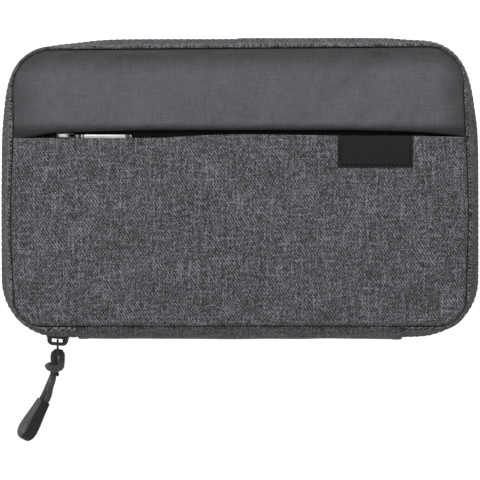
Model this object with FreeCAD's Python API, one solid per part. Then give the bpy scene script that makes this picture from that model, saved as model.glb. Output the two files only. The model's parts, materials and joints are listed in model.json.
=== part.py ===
"""Cable organizer pouch: a soft zip-round case of two shallow halves, joined along the bottom by a cloth spine.

It lies on its back. Millimetres. The origin is the middle of the rear face, +X runs to the right, +Y to the
top edge with the front pocket, and +Z out of the front face. The base is the rear half with the spine and the
main zip's slider. The lid is the front half with the flat zip pocket.
"""

import FreeCAD, Part
import math
import os

V = FreeCAD.Vector

# ---------------------------------------------------------------- driving dimensions
WIDTH = 240.0  # across the middle, where the main zip runs
HEIGHT = 151.0
DEPTH = 45.0  # rear face to front face
MID_Z = DEPTH / 2

# The faces are smaller than the middle, with tighter corners: the walls swell outwards between them.
FACE_WIDTH = 225.0
FACE_HEIGHT = 139.0
FACE_TOP_R = 15.0
FACE_BOTTOM_R = 13.0
MID_TOP_R = 34.0
MID_BOTTOM_R = 31.0

WALL_T = 1.2  # cloth, thin foam and lining of the walls
WALL_EDGE = 5.4  # from the middle plane to the cloth's edge beside the zip
PANEL_T = 1.0
PANEL_INSET = WALL_T + 0.1
BOARD_T = 2.0
BOARD_INSET = 3.0
LINING_T = 0.5
BINDING_W = 1.6
BINDING_T = 1.8

SPINE_HALF = 81.4  # half its length along X
SPINE_TOP = DEPTH - 1.4
WALL_GAP_HALF = 82.2  # the front and rear walls end here, each side of the spine
HINGE_Y = -FACE_HEIGHT / 2 - 0.1
HINGE_Z = DEPTH

# Main zip
TAPE_T = 0.6
TAPE_INSET = 3.0
TAPE_ROOT_Z = 14.5
TAPE_ROOT_INSET = 2.3
TAPE_EDGE = 0.7  # from the middle plane to the tape's woven edge
COIL_T = 1.8
COIL_NEAR = 0.1
COIL_FAR = 3.0
STOP_LENGTH = 1.4

# Main slider. Its travel is round the bottom left corner, so it is built of rings about that corner's centre.
CORNER = V(-WIDTH / 2 + MID_BOTTOM_R, -HEIGHT / 2 + MID_BOTTOM_R, MID_Z)
SLIDER_TURN = -4.3  # degrees past the corner's lowest point
SLIDER_HALF_ANGLE = 10.8
SLIDER_HALF_WIDTH = 3.9
OUTER_PLATE = (30.3, 31.4)  # radii
INNER_PLATE = (25.9, 26.9)
FLANGE_R = 28.9
FLANGE_T = 0.6
POST_HALF = 0.8
BRIDGE_HALF = 5.0
BRIDGE_BAR = (33.6, 34.7)
BRIDGE_HALF_WIDTH = 1.0
BRIDGE_LEG = 1.5

# Main pull: a metal tab that hangs edge up, a braided cord hitched through it, and a moulded grip
PIVOT_R = 32.5
TAB_T = 1.0
TAB_HALF_WIDTH = 3.7
TAB_EYE_HALF_WIDTH = 2.9
TAB_END = 17.2
TAB_DROOP = 8.0
TAB_EYE = (0.7, 3.3)
TAB_EYE_HOLE_HALF = 1.7
TAB_SLOT = (4.1, 8.8)
TAB_SLOT_HALF = 2.85
CORD_D = 2.6
STRAND = CORD_D / 2 + 0.1  # each strand's centre from the middle of the pair
GRIP_TOP = V(-98.6, -107.0, 0.0)
GRIP_HEADING = 241.0  # degrees in plan
STRANDS_APART = (1.1, 0.95)  # at the grip: half their distance to the side and in height
GRIP_SECTIONS = ((0.0, 7.0, 5.4), (8.0, 8.8, 6.4), (16.0, 10.2, 6.8), (20.0, 9.2, 6.2), (22.0, 6.2, 4.0))

# Front pocket zip
SLOT_LOW = 24.6
SLOT_HIGH = 28.5
SLOT_MID = 25.9
POCKET_TAPE_Z = 41.2
POCKET_TAPE_T = 0.4
POCKET_TAPE_HALF = 9.0
POCKET_COIL = (1.2, 1.1)  # half width, height
POCKET_ZIP_LEFT = -93.5
POCKET_ZIP_RIGHT = 72.0
POCKET_SLIDER_X = -88.3
POCKET_SLIDER = (3.5, 2.4)  # half length, half width
POCKET_SLIDER_TOP = 43.6
POCKET_PIVOT_Z = 44.4
POCKET_PULL_LENGTH = 34.0
POCKET_PULL_HALF = 1.1
POCKET_PULL_T = 0.9

LABEL = (48.7, 86.4, 10.0, SLOT_LOW - 0.2, 0.6)  # left, right, low, high, thickness

PANEL_CROWN = 0.6
BAND_CROWN = 1.8

# Inside
LOOP_STRIP_W = 26.0
LOOP_STRIP_HALF = 88.0
LOOP_PITCH = 22.0
LOOP_LIFT = 0.7
ELASTIC_T = 0.8
MESH_TOP = 22.0
MESH_T = 0.5


# ---------------------------------------------------------------- shared shapes
def swell(z):
    """How far the walls have swollen at a height, from 0 at a face to 1 at the middle."""
    return math.sin(math.pi / 2 * (1 - abs(z - MID_Z) / MID_Z))


def outline(z, inset, share=None):
    """The case's outline at a height, drawn in by an inset: four straight sides and four corner arcs."""
    t = swell(z) if share is None else share
    half_w = (FACE_WIDTH + (WIDTH - FACE_WIDTH) * t) / 2 - inset
    half_h = (FACE_HEIGHT + (HEIGHT - FACE_HEIGHT) * t) / 2 - inset
    top = FACE_TOP_R + (MID_TOP_R - FACE_TOP_R) * t - inset
    low = FACE_BOTTOM_R + (MID_BOTTOM_R - FACE_BOTTOM_R) * t - inset
    corners = ((half_w, half_h, top), (-half_w, half_h, top), (-half_w, -half_h, low), (half_w, -half_h, low))
    starts, arcs = [], []
    for i, (x, y, r) in enumerate(corners):
        sx, sy = math.copysign(1, x), math.copysign(1, y)
        centre = V(x - sx * r, y - sy * r, z)
        begin = 90.0 * i
        on = [centre + V(math.cos(math.radians(a)), math.sin(math.radians(a)), 0) * r
              for a in (begin, begin + 45, begin + 90)]
        starts.append((on[0], on[2]))
        arcs.append(Part.Arc(*on).toShape())
    edges = []
    for i, arc in enumerate(arcs):
        edges.append(arc)
        edges.append(Part.makeLine(starts[i][1], starts[(i + 1) % 4][0]))
    return Part.Wire(edges)


def plate(z, thickness, inset, share=0.0):
    """A flat sheet with the faces' outline."""
    return Part.Face(outline(z, inset, share)).extrude(V(0, 0, thickness))


def box(x0, x1, y0, y1, z0, z1):
    return Part.makeBox(x1 - x0, y1 - y0, z1 - z0, V(x0, y0, z0))


def ring_wall(stations, thickness):
    """A wall through outlines given as (height, inset), with the thickness inwards of them."""
    outer = Part.makeLoft([outline(z, inset) for z, inset in stations], True, True)
    inner = Part.makeLoft([outline(z, inset + thickness) for z, inset in stations], True, True)
    return outer.cut(inner)


def spine_box(half):
    """The block that holds the stretch of the bottom wall between two ends."""
    return box(-half, half, -HEIGHT, -50, -1.0, DEPTH + 1)


def mirrored(shape):
    """The same shape on the other half of the case."""
    return shape.mirror(V(0, 0, MID_Z), V(0, 0, 1))


def sector(r0, r1, from_deg, to_deg, z0, z1):
    """Part of a ring about the bottom left corner's centre."""
    base = V(CORNER.x, CORNER.y, z0)
    outer = Part.makeCylinder(r1, z1 - z0, base, V(0, 0, 1), to_deg - from_deg)
    inner = Part.makeCylinder(r0, z1 - z0, base, V(0, 0, 1), 360)
    outer.rotate(base, V(0, 0, 1), from_deg)
    return outer.cut(inner)


# ---------------------------------------------------------------- both halves
def rear_wall():
    """The rear wall's cloth, open at the spine."""
    heights = (0.3, 3.0, 7.0, 12.0, MID_Z - WALL_EDGE)
    return ring_wall([(z, 0.0) for z in heights], WALL_T).cut(spine_box(WALL_GAP_HALF))


def board():
    return plate(PANEL_T, BOARD_T, BOARD_INSET)


def lining():
    return plate(PANEL_T + BOARD_T, LINING_T, BOARD_INSET - 1.2)


def seam_binding():
    """The narrow tape that binds the seam between lining and wall."""
    z = PANEL_T + BOARD_T + LINING_T
    share = swell(z)
    outer = Part.Face(outline(z, WALL_T + 0.4, share)).extrude(V(0, 0, BINDING_T))
    inner = Part.Face(outline(z, WALL_T + 0.4 + BINDING_W, share)).extrude(V(0, 0, BINDING_T))
    return outer.cut(inner)


def zip_tape():
    """The rear half of the main zip's woven tape."""
    stations = [(TAPE_ROOT_Z, TAPE_ROOT_INSET), (MID_Z - TAPE_EDGE, TAPE_INSET)]
    return ring_wall(stations, TAPE_T).cut(spine_box(WALL_GAP_HALF)).cut(post_room())


def zip_coil():
    """The rear row of the main zip's coil, as one band round the case."""
    low, high = MID_Z - COIL_FAR, MID_Z - COIL_NEAR
    inset = TAPE_INSET - COIL_T - 0.2
    outer = Part.Face(outline(low, inset, 1.0)).extrude(V(0, 0, high - low))
    inner = Part.Face(outline(low, inset + COIL_T, 1.0)).extrude(V(0, 0, high - low))
    return outer.cut(inner).cut(spine_box(WALL_GAP_HALF + STOP_LENGTH + 0.2)).cut(post_room())


def post_room():
    """The parting of the two rows at the slider's leading end, where its post stands between them."""
    middle = -90 + SLIDER_TURN
    return sector(25, 34, middle + 5, middle + 11.2, MID_Z - POST_HALF - 0.3, MID_Z + POST_HALF + 0.3)


def zip_stops():
    """The two stops that close the rear row's ends beside the spine."""
    y = -HEIGHT / 2 + TAPE_INSET
    stops = []
    for side in (-1, 1):
        x = side * (WALL_GAP_HALF + STOP_LENGTH / 2 + 0.05)
        half = STOP_LENGTH / 2 - 0.1
        stops.append(box(x - half, x + half, y - 2.0, y - 0.1, MID_Z - 3.4, MID_Z - 0.4))
    return Part.makeCompound(stops)


# ---------------------------------------------------------------- base
def rear_panel():
    return plate(0.0, PANEL_T, PANEL_INSET)


def spine_panel():
    heights = (0.3, 3.0, 7.0, 12.0, 17.0, 22.5, 28.0, 33.0, 38.0, SPINE_TOP - 1.6, SPINE_TOP)
    return ring_wall([(z, 0.0) for z in heights], WALL_T).common(spine_box(SPINE_HALF))


def spine_lining():
    """A thin lining that covers the spine's inner side."""
    heights = (6.0, 12.0, 17.0, 22.5, 28.0, 33.0, 39.0)
    return ring_wall([(z, WALL_T + 0.1) for z in heights], LINING_T).common(spine_box(SPINE_HALF - 1))


def loop_strip(y_mid):
    """A wide elastic tacked down at even steps, so that each stretch between two tacks holds a cable."""
    z = PANEL_T + BOARD_T + LINING_T
    low, high = y_mid - LOOP_STRIP_W / 2, y_mid + LOOP_STRIP_W / 2
    strip = box(-LOOP_STRIP_HALF, LOOP_STRIP_HALF, low, high, z + LOOP_LIFT, z + LOOP_LIFT + ELASTIC_T)
    for i in range(int(2 * LOOP_STRIP_HALF / LOOP_PITCH) + 1):
        x = -LOOP_STRIP_HALF + i * LOOP_PITCH
        x = min(max(x, -LOOP_STRIP_HALF + 1), LOOP_STRIP_HALF - 1)
        strip = strip.fuse(box(x - 1, x + 1, low, high, z, z + LOOP_LIFT + 0.1))
    return strip.removeSplitter()


# ---------------------------------------------------------------- lid
def crowned(low, high, crown):
    """A front sheet between two heights on the face, with its outer side arched up between them."""
    z = DEPTH - PANEL_T
    half = FACE_WIDTH / 2
    edge_low, edge_high = V(-half, low, DEPTH), V(-half, high, DEPTH)
    top = Part.Arc(edge_low, V(-half, (low + high) / 2, DEPTH + crown), edge_high).toShape()
    under = Part.makePolygon([edge_high, V(-half, high, z), V(-half, low, z), edge_low])
    solid = Part.Face(Part.Wire([top] + under.Edges)).extrude(V(2 * half, 0, 0))
    return solid.common(plate(z - 1, PANEL_T + crown + 2, PANEL_INSET))


def front_lower_panel():
    return crowned(-FACE_HEIGHT / 2, SLOT_LOW, PANEL_CROWN)


def front_upper_band():
    return crowned(SLOT_HIGH, FACE_HEIGHT / 2, BAND_CROWN)


def label_patch():
    """The sewn patch, bedded on the lower panel's crown."""
    left, right, low, high, thickness = LABEL
    patch = box(left, right, low, high, DEPTH - 0.5, DEPTH + PANEL_CROWN + 1.5)
    lifted = front_lower_panel()
    lifted.translate(V(0, 0, thickness))
    return patch.common(lifted).cut(front_lower_panel())


def pocket_back():
    """The cloth that closes the front pocket's back."""
    return plate(POCKET_TAPE_Z - 0.2 - LINING_T, LINING_T, BOARD_INSET)


def front_board():
    return plate(POCKET_TAPE_Z - 0.2 - LINING_T - BOARD_T, BOARD_T, BOARD_INSET)


def front_lining():
    return plate(POCKET_TAPE_Z - 0.2 - 2 * LINING_T - BOARD_T, LINING_T, BOARD_INSET - 1.2)


def front_binding():
    shape = mirrored(seam_binding())
    under_lining = POCKET_TAPE_Z - 0.2 - 2 * LINING_T - BOARD_T
    shape.translate(V(0, 0, under_lining - shape.BoundBox.ZMax))
    return shape


def mesh_pocket():
    """A net pocket that covers the lid's inner side up to its bound edge."""
    z = front_binding().BoundBox.ZMin - MESH_T - 0.1
    sheet = plate(z, MESH_T, BOARD_INSET - 0.6)
    return sheet.common(box(-WIDTH, WIDTH, -HEIGHT, MESH_TOP, z - 1, z + 2))


def mesh_binding():
    """The elastic edge of the net pocket's mouth."""
    z = front_binding().BoundBox.ZMin - MESH_T - 0.1
    half = FACE_WIDTH / 2 - BOARD_INSET + 0.6
    return box(-half, half, MESH_TOP + 0.05, MESH_TOP + 8, z - 0.3, z + MESH_T + 0.2)


def pocket_zip_tape():
    low, high = SLOT_MID - POCKET_TAPE_HALF, SLOT_MID + POCKET_TAPE_HALF
    return box(-106, 104, low, high, POCKET_TAPE_Z, POCKET_TAPE_Z + POCKET_TAPE_T)


def pocket_zip_coil():
    half, high = POCKET_COIL
    z = POCKET_TAPE_Z + POCKET_TAPE_T
    return box(POCKET_ZIP_LEFT, POCKET_ZIP_RIGHT, SLOT_MID - half, SLOT_MID + half, z, z + high)


def pocket_zip_stops():
    z = POCKET_TAPE_Z + POCKET_TAPE_T
    stops = [box(x, x + STOP_LENGTH, SLOT_MID - 1.8, SLOT_MID + 1.8, z, z + 1.5)
             for x in (POCKET_ZIP_LEFT - STOP_LENGTH - 0.1, POCKET_ZIP_RIGHT + 0.1)]
    return Part.makeCompound(stops)


# ---------------------------------------------------------------- sliders and pulls
def main_zip_slider():
    """Two curved plates round the coil, joined by a post, with the bridge that the tab hangs from."""
    low, high = MID_Z - SLIDER_HALF_WIDTH, MID_Z + SLIDER_HALF_WIDTH
    a0, a1 = -90 - SLIDER_HALF_ANGLE, -90 + SLIDER_HALF_ANGLE
    parts = [sector(*OUTER_PLATE, a0, a1, low, high), sector(*INNER_PLATE, a0, a1, low, high)]
    for z in (low, high - FLANGE_T):
        parts.append(sector(FLANGE_R, OUTER_PLATE[0] + 0.1, a0, a1, z, z + FLANGE_T))
    post = sector(INNER_PLATE[1] - 0.1, OUTER_PLATE[0] + 0.1, a1 - 4.8, a1 - 0.6, MID_Z - POST_HALF, MID_Z + POST_HALF)
    parts.append(post)
    foot_y = CORNER.y - OUTER_PLATE[1] + 0.6
    bar_y = (CORNER.y - BRIDGE_BAR[1], CORNER.y - BRIDGE_BAR[0])
    z0, z1 = MID_Z - BRIDGE_HALF_WIDTH, MID_Z + BRIDGE_HALF_WIDTH
    for side in (-1, 1):
        outer, inner = side * BRIDGE_HALF, side * (BRIDGE_HALF - BRIDGE_LEG)
        x0, x1 = sorted((CORNER.x + outer, CORNER.x + inner))
        parts.append(box(x0, x1, bar_y[0], foot_y, z0, z1))
    parts.append(box(CORNER.x - BRIDGE_HALF, CORNER.x + BRIDGE_HALF, bar_y[0], bar_y[1], z0, z1))
    slider = parts[0].multiFuse(parts[1:]).removeSplitter()
    slider.rotate(CORNER, V(0, 0, 1), SLIDER_TURN)
    return slider


def pivot():
    """Where the tab's cross bar sits under the bridge."""
    a = math.radians(-90 + SLIDER_TURN)
    return CORNER + V(math.cos(a), math.sin(a), 0) * PIVOT_R


def on_tab(across, along, up):
    """A point given from the tab's pivot: across its plate, along it and up its edge."""
    droop = math.radians(TAB_DROOP)
    along_dir = V(0, -math.cos(droop), -math.sin(droop))
    up_dir = V(0, -math.sin(droop), math.cos(droop))
    return pivot() + V(across, 0, 0) + along_dir * along + up_dir * up


def tab_prism(points, reach):
    """A prism through the tab's thickness from points given as (along, up)."""
    loop = [on_tab(-reach, a, u) for a, u in points]
    face = Part.Face(Part.makePolygon(loop + [loop[0]]))
    return face.extrude(V(2 * reach, 0, 0))


def tab_window(along, half):
    a0, a1 = along
    return tab_prism([(a0, -half), (a1, -half), (a1, half), (a0, half)], TAB_T)


def main_pull_tab():
    """The flat tab: an eye for the slider's bridge, a slot for the cord and a rounded end."""
    eye, wide, end = TAB_EYE_HALF_WIDTH, TAB_HALF_WIDTH, TAB_END
    shoulder = TAB_EYE[1] - 0.6
    half_outline = [(-0.7, eye - 0.7), (0.0, eye), (shoulder, eye), (TAB_SLOT[0], wide),
                    (end - 2.6, wide), (end - 0.8, wide - 0.9), (end, wide - 2.2)]
    outline_points = half_outline + [(a, -u) for a, u in reversed(half_outline)]
    tab = tab_prism(outline_points, TAB_T / 2)
    return tab.cut(tab_window(TAB_EYE, TAB_EYE_HOLE_HALF)).cut(tab_window(TAB_SLOT, TAB_SLOT_HALF))


def grip_frame():
    heading = math.radians(GRIP_HEADING)
    return V(math.cos(heading), math.sin(heading), 0), V(-math.sin(heading), math.cos(heading), 0)


def grip_section(at, width, height):
    """An eight-sided section, flat underneath and level at the sides."""
    along, side = grip_frame()
    w, chamfer = width / 2, 0.28 * height
    points = [(-w, chamfer), (-w + chamfer, 0), (w - chamfer, 0), (w, chamfer),
              (w, height - chamfer), (w - chamfer, height), (-w + chamfer, height), (-w, height - chamfer)]
    loop = [GRIP_TOP + along * at + side * a + V(0, 0, b) for a, b in points]
    return Part.makePolygon(loop + [loop[0]])


def main_pull_grip():
    return Part.makeLoft([grip_section(*s) for s in GRIP_SECTIONS], True, True)


def cord_route():
    """The cord's whole way: out of the grip, up the tab's left side, through its slot, round its edges as the
    hitch, and back the same way below, into the grip."""
    along, side = grip_frame()
    middle = GRIP_TOP + V(0, 0, GRIP_SECTIONS[0][2] / 2)
    apart = side * STRANDS_APART[0] + V(0, 0, STRANDS_APART[1])
    ends = [middle - apart, middle + apart]
    upper = [ends[1],
             ends[1] - along * 3.4,
             V(-95.45, -101.0, 8.45),
             V(-94.5, -98.1, 13.5),
             V(-93.7, -95.7, 18.3),
             on_tab(-1.95, 14.6, STRAND),
             on_tab(-1.95, 11.2, STRAND),
             on_tab(-2.2, 5.6, STRAND),
             on_tab(2.2, 5.6, STRAND),
             on_tab(2.1, 9.8, 2.0),
             on_tab(1.95, 12.5, 4.7),
             on_tab(-0.8, 13.2, 6.5),
             on_tab(-4.15, 12.9, 4.6)]
    bight = [on_tab(-5.0, 12.7, 0.0)]
    lower = [on_tab(-4.15, 12.9, -4.6),
             on_tab(-0.8, 13.2, -6.5),
             on_tab(1.95, 12.5, -4.7),
             on_tab(2.1, 9.8, -2.0),
             on_tab(2.2, 5.6, -STRAND),
             on_tab(-2.2, 5.6, -STRAND),
             on_tab(-1.95, 11.2, -STRAND),
             on_tab(-1.95, 14.0, -STRAND),
             V(-93.6, -93.5, 15.9),
             V(-94.6, -95.7, 11.9),
             V(-95.9, -98.75, 6.45),
             ends[0] - along * 3.4,
             ends[0]]
    return upper + bight + lower


def tube(points, diameter, name):
    """A round tube along straight runs joined by tangent arcs, as large as the runs allow."""
    edges, here, length, radii = [], points[0], 0.0, []
    for before, corner, after in zip(points, points[1:], points[2:]):
        back, on = (before - corner), (after - corner)
        trim = 0.45 * min(back.Length, on.Length)
        back.normalize()
        on.normalize()
        half_turn = (math.pi - back.getAngle(on)) / 2
        radius = trim / math.tan(half_turn)
        start, end = corner + back * trim, corner + on * trim
        bisector = (back + on).normalize()
        middle = corner + bisector * (radius / math.cos(half_turn) - radius)
        edges.append(Part.LineSegment(here, start).toShape())
        edges.append(Part.Arc(start, middle, end).toShape())
        length += (start - here).Length + 2 * half_turn * radius
        radii.append(round(radius, 2))
        here = end
    edges.append(Part.LineSegment(here, points[-1]).toShape())
    length += (points[-1] - here).Length
    path = Part.Wire(edges)
    heading = (points[1] - points[0]).normalize()
    circle = Part.Wire([Part.makeCircle(diameter / 2, points[0], heading)])
    solid = path.makePipeShell([circle], True, True)
    section = math.pi * diameter**2 / 4
    print(name, "length", round(length, 1), "radii", radii)
    print(name, "volume", round(solid.Volume, 2), "section x length", round(section * length, 2))
    return solid


def main_pull_cord():
    return tube(cord_route(), CORD_D, "main_pull_cord")


def pocket_zip_slider():
    half_x, half_y = POCKET_SLIDER
    x, y, top = POCKET_SLIDER_X, SLOT_MID, POCKET_SLIDER_TOP
    skirt = POCKET_TAPE_Z + POCKET_TAPE_T + 0.3
    body = box(x - half_x, x + half_x, y - half_y, y + half_y, skirt, top)
    channel = box(x - half_x - 1, x + half_x + 1, y - 1.6, y + 1.6, skirt - 1, top - 0.6)
    parts = []
    for side in (-1, 1):
        x0, x1 = sorted((x + side * 2.5, x + side * 3.3))
        parts.append(box(x0, x1, y - 0.4, y + 0.4, top - 0.1, POCKET_PIVOT_Z + 1.6))
    z = POCKET_PIVOT_Z + 0.8
    parts.append(box(x - 3.3, x + 3.3, y - 0.4, y + 0.4, z, z + 0.8))
    return body.cut(channel).multiFuse(parts).removeSplitter()


def pocket_pull_bar():
    x, y, half = POCKET_SLIDER_X, SLOT_MID, POCKET_PULL_HALF
    z = POCKET_PIVOT_Z
    bar = box(x, x + POCKET_PULL_LENGTH, y - half, y + half, z - POCKET_PULL_T / 2, z + POCKET_PULL_T / 2)
    cross = Part.makeCylinder(POCKET_PULL_T / 2, 2 * half, V(x, y - half, z), V(0, 1, 0))
    window = box(x + 0.65, x + 5.2, y - 0.65, y + 0.65, z - 1, z + 1)
    return bar.fuse(cross).cut(window).removeSplitter()


# ---------------------------------------------------------------- the case
def everything():
    return {
        "rear_panel": rear_panel(),
        "rear_foam_board": board(),
        "rear_lining": lining(),
        "rear_gusset": rear_wall(),
        "rear_seam_binding": seam_binding(),
        "spine_panel": spine_panel(),
        "spine_lining": spine_lining(),
        "main_zip_tape_rear": zip_tape(),
        "main_zip_coil_rear": zip_coil(),
        "main_zip_end_stops": zip_stops(),
        "elastic_loops_upper": loop_strip(30.0),
        "elastic_loops_lower": loop_strip(-26.0),
        "front_lower_panel": front_lower_panel(),
        "front_upper_band": front_upper_band(),
        "front_gusset": mirrored(rear_wall()),
        "front_foam_board": front_board(),
        "front_lining": front_lining(),
        "front_seam_binding": front_binding(),
        "main_zip_tape_front": mirrored(zip_tape()),
        "main_zip_coil_front": mirrored(zip_coil()),
        "front_pocket_back": pocket_back(),
        "pocket_zip_tape": pocket_zip_tape(),
        "pocket_zip_coil": pocket_zip_coil(),
        "pocket_zip_stops": pocket_zip_stops(),
        "label_patch": label_patch(),
        "mesh_pocket": mesh_pocket(),
        "mesh_pocket_binding": mesh_binding(),
        "main_zip_slider": main_zip_slider(),
        "main_pull_tab": main_pull_tab(),
        "main_pull_cord": main_pull_cord(),
        "main_pull_grip": main_pull_grip(),
        "pocket_zip_slider": pocket_zip_slider(),
        "pocket_pull_bar": pocket_pull_bar(),
    }


os.makedirs("parts", exist_ok=True)
for name, shape in everything().items():
    shape.exportStep(os.path.join("parts", name + ".step"))
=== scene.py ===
"""Cable organizer pouch: the looks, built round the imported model. The pouch lies on its back, +Z up.

Lengths are in millimetres in the functions below, and mesh_piece() turns them into metres.
"""
import json
import math

import bpy
import numpy as np
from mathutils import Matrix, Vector, noise
from mathutils.bvhtree import BVHTree


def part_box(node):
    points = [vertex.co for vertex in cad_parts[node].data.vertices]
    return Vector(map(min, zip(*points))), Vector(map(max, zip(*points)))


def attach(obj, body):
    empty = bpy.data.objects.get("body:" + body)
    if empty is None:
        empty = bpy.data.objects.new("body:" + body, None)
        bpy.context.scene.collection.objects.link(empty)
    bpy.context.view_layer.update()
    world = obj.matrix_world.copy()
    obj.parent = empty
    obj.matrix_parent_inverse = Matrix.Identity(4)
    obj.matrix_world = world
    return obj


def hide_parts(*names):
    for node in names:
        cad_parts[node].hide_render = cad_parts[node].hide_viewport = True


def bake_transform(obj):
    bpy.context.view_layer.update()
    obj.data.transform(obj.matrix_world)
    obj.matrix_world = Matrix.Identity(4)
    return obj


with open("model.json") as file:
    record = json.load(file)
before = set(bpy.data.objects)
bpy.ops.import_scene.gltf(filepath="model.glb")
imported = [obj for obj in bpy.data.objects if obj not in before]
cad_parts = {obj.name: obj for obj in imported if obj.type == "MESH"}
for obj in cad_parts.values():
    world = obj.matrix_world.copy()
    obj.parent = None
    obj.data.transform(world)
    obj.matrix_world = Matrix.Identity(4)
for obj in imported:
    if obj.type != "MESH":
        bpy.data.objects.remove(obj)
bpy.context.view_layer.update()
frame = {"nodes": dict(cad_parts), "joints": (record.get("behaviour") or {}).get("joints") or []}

MM = 0.001
JOINTS = {joint["name"]: joint for joint in frame["joints"]}


def node_mm(node):
    """A CAD node's lowest and highest corners, in millimetres."""
    low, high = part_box(node)
    return np.array(low) / MM, np.array(high) / MM


# ---------------------------------------------------------------- sizes, from the frame
HINGE = np.array(JOINTS["lid_hinge"]["pos_m"]) / MM
DEPTH = HINGE[2]
MID = DEPTH / 2
PANEL_INSET = 1.3
COIL_INSET = 1.0
FACE_HALF_W = node_mm("rear_panel")[1][0] + PANEL_INSET
FACE_HALF_H = node_mm("rear_panel")[1][1] + PANEL_INSET
MID_HALF_W = node_mm("main_zip_coil_rear")[1][0] + COIL_INSET
MID_HALF_H = node_mm("main_zip_coil_rear")[1][1] + COIL_INSET
FACE_TOP_R, FACE_LOW_R = 18.0, 13.0
MID_TOP_R, MID_LOW_R = 34.0, 31.0
SPINE_HALF = node_mm("spine_panel")[1][0]
WALL_GAP = SPINE_HALF - 0.5
SEAM_INSET = -0.05
SLOT_LOW = node_mm("front_lower_panel")[1][1]
SLOT_HIGH = node_mm("front_upper_band")[0][1]
CORNER = np.array(JOINTS["main_slider_travel"]["pos_m"]) / MM
PIVOT = np.array(JOINTS["main_pull_swing"]["pos_m"]) / MM
POCKET_PIVOT = np.array(JOINTS["pocket_pull_swing"]["pos_m"]) / MM
STITCH_PITCH = 3.2
CORD_D = 2.6


# ---------------------------------------------------------------- small maths
def smooth(t):
    """An S-curve from 0 to 1."""
    t = min(max(t, 0.0), 1.0)
    return t * t * (3 - 2 * t)


def wobble(x, y, size, seed):
    """Smooth noise from -1 to 1, with bumps about size millimetres across."""
    return noise.noise(Vector((x / size, y / size, 3.7 + seed)))


def unit(v):
    """A vector made one long."""
    return v / np.linalg.norm(v)


# ---------------------------------------------------------------- node materials
class Shader:
    """A material's node tree, with short calls for the nodes used here."""

    def __init__(self, name, roughness, **sockets):
        """A plain material, with values for its sockets by name."""
        self.material = bpy.data.materials.new(name)
        self.material.use_nodes = True
        self.tree = self.material.node_tree
        self.surface = next(n for n in self.tree.nodes if n.type == "BSDF_PRINCIPLED")
        self.surface.inputs["Roughness"].default_value = roughness
        for socket, value in sockets.items():
            self.surface.inputs[socket.replace("_", " ")].default_value = value

    def node(self, kind, inputs=(), **settings):
        """A new node. Inputs are values or other nodes' outputs."""
        made = self.tree.nodes.new(kind)
        for key, value in settings.items():
            setattr(made, key, value)
        for key, value in dict(inputs).items():
            if hasattr(value, "is_output"):
                self.tree.links.new(value, made.inputs[key])
            else:
                made.inputs[key].default_value = value
        return made

    def math(self, operation, a, b=0.0, c=0.0):
        """The result of one sum."""
        return self.node("ShaderNodeMath", {0: a, 1: b, 2: c}, operation=operation).outputs[0]

    def mix(self, factor, a, b):
        """A value between two others."""
        made = self.node("ShaderNodeMix", {0: factor, 2: a, 3: b})
        return made.outputs[0]

    def cloth_xy(self):
        """The cloth's own coordinates, in metres along and across its threads."""
        uv = self.node("ShaderNodeUVMap", uv_map="Cloth").outputs[0]
        split = self.node("ShaderNodeSeparateXYZ", {0: uv})
        return split.outputs[0], split.outputs[1]

    def noise(self, x, y, scale, detail=2.0, z=0.0):
        """Noise at given coordinates."""
        vector = self.node("ShaderNodeCombineXYZ", {0: x, 1: y, 2: z}).outputs[0]
        inputs = {"Vector": vector, "Scale": scale, "Detail": detail}
        return self.node("ShaderNodeTexNoise", inputs).outputs[0]

    def object_noise(self, scale):
        """Noise fixed to the object."""
        place = self.node("ShaderNodeTexCoord").outputs["Object"]
        return self.node("ShaderNodeTexNoise", {"Vector": place, "Scale": scale, "Detail": 3.0}).outputs[0]

    def ramp(self, factor, stops):
        """A colour picked from stops of (place, colour)."""
        made = self.node("ShaderNodeValToRGB", {0: factor})
        band = made.color_ramp
        while len(band.elements) < len(stops):
            band.elements.new(0.5)
        for element, (place, colour) in zip(band.elements, stops):
            element.position = place
            element.color = (*colour, 1.0)
        return made.outputs[0]

    def fade(self, value, start, end, least):
        """1 up to a start value, falling smoothly to the least at an end value."""
        span = {0: value, 1: start, 2: end, 3: 1.0, 4: least}
        return self.node("ShaderNodeMapRange", span, interpolation_type="SMOOTHSTEP").outputs[0]

    def tint(self, colour, factor):
        """A colour made lighter or darker by a factor."""
        made = self.node("ShaderNodeVectorMath", {0: colour, "Scale": factor}, operation="SCALE")
        return made.outputs[0]

    def colour(self, output):
        """Sets the surface's colour."""
        self.tree.links.new(output, self.surface.inputs["Base Color"])

    def bump(self, height, distance, strength):
        """Raises the surface by a height from 0 to 1 times a distance in metres."""
        made = self.node("ShaderNodeBump", {"Height": height, "Distance": distance, "Strength": strength})
        self.tree.links.new(made.outputs[0], self.surface.inputs["Normal"])

    def rough(self, output):
        """Sets the surface's roughness."""
        self.tree.links.new(output, self.surface.inputs["Roughness"])


def grey(value, warm=0.0):
    """A grey that may lean a little to red."""
    return (value * (1 + warm), value, value * (1 - warm))


def cool(value):
    """A grey that leans a little to violet, as the two face cloths do."""
    return (value * 1.0, value * 0.975, value * 1.06)


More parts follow.
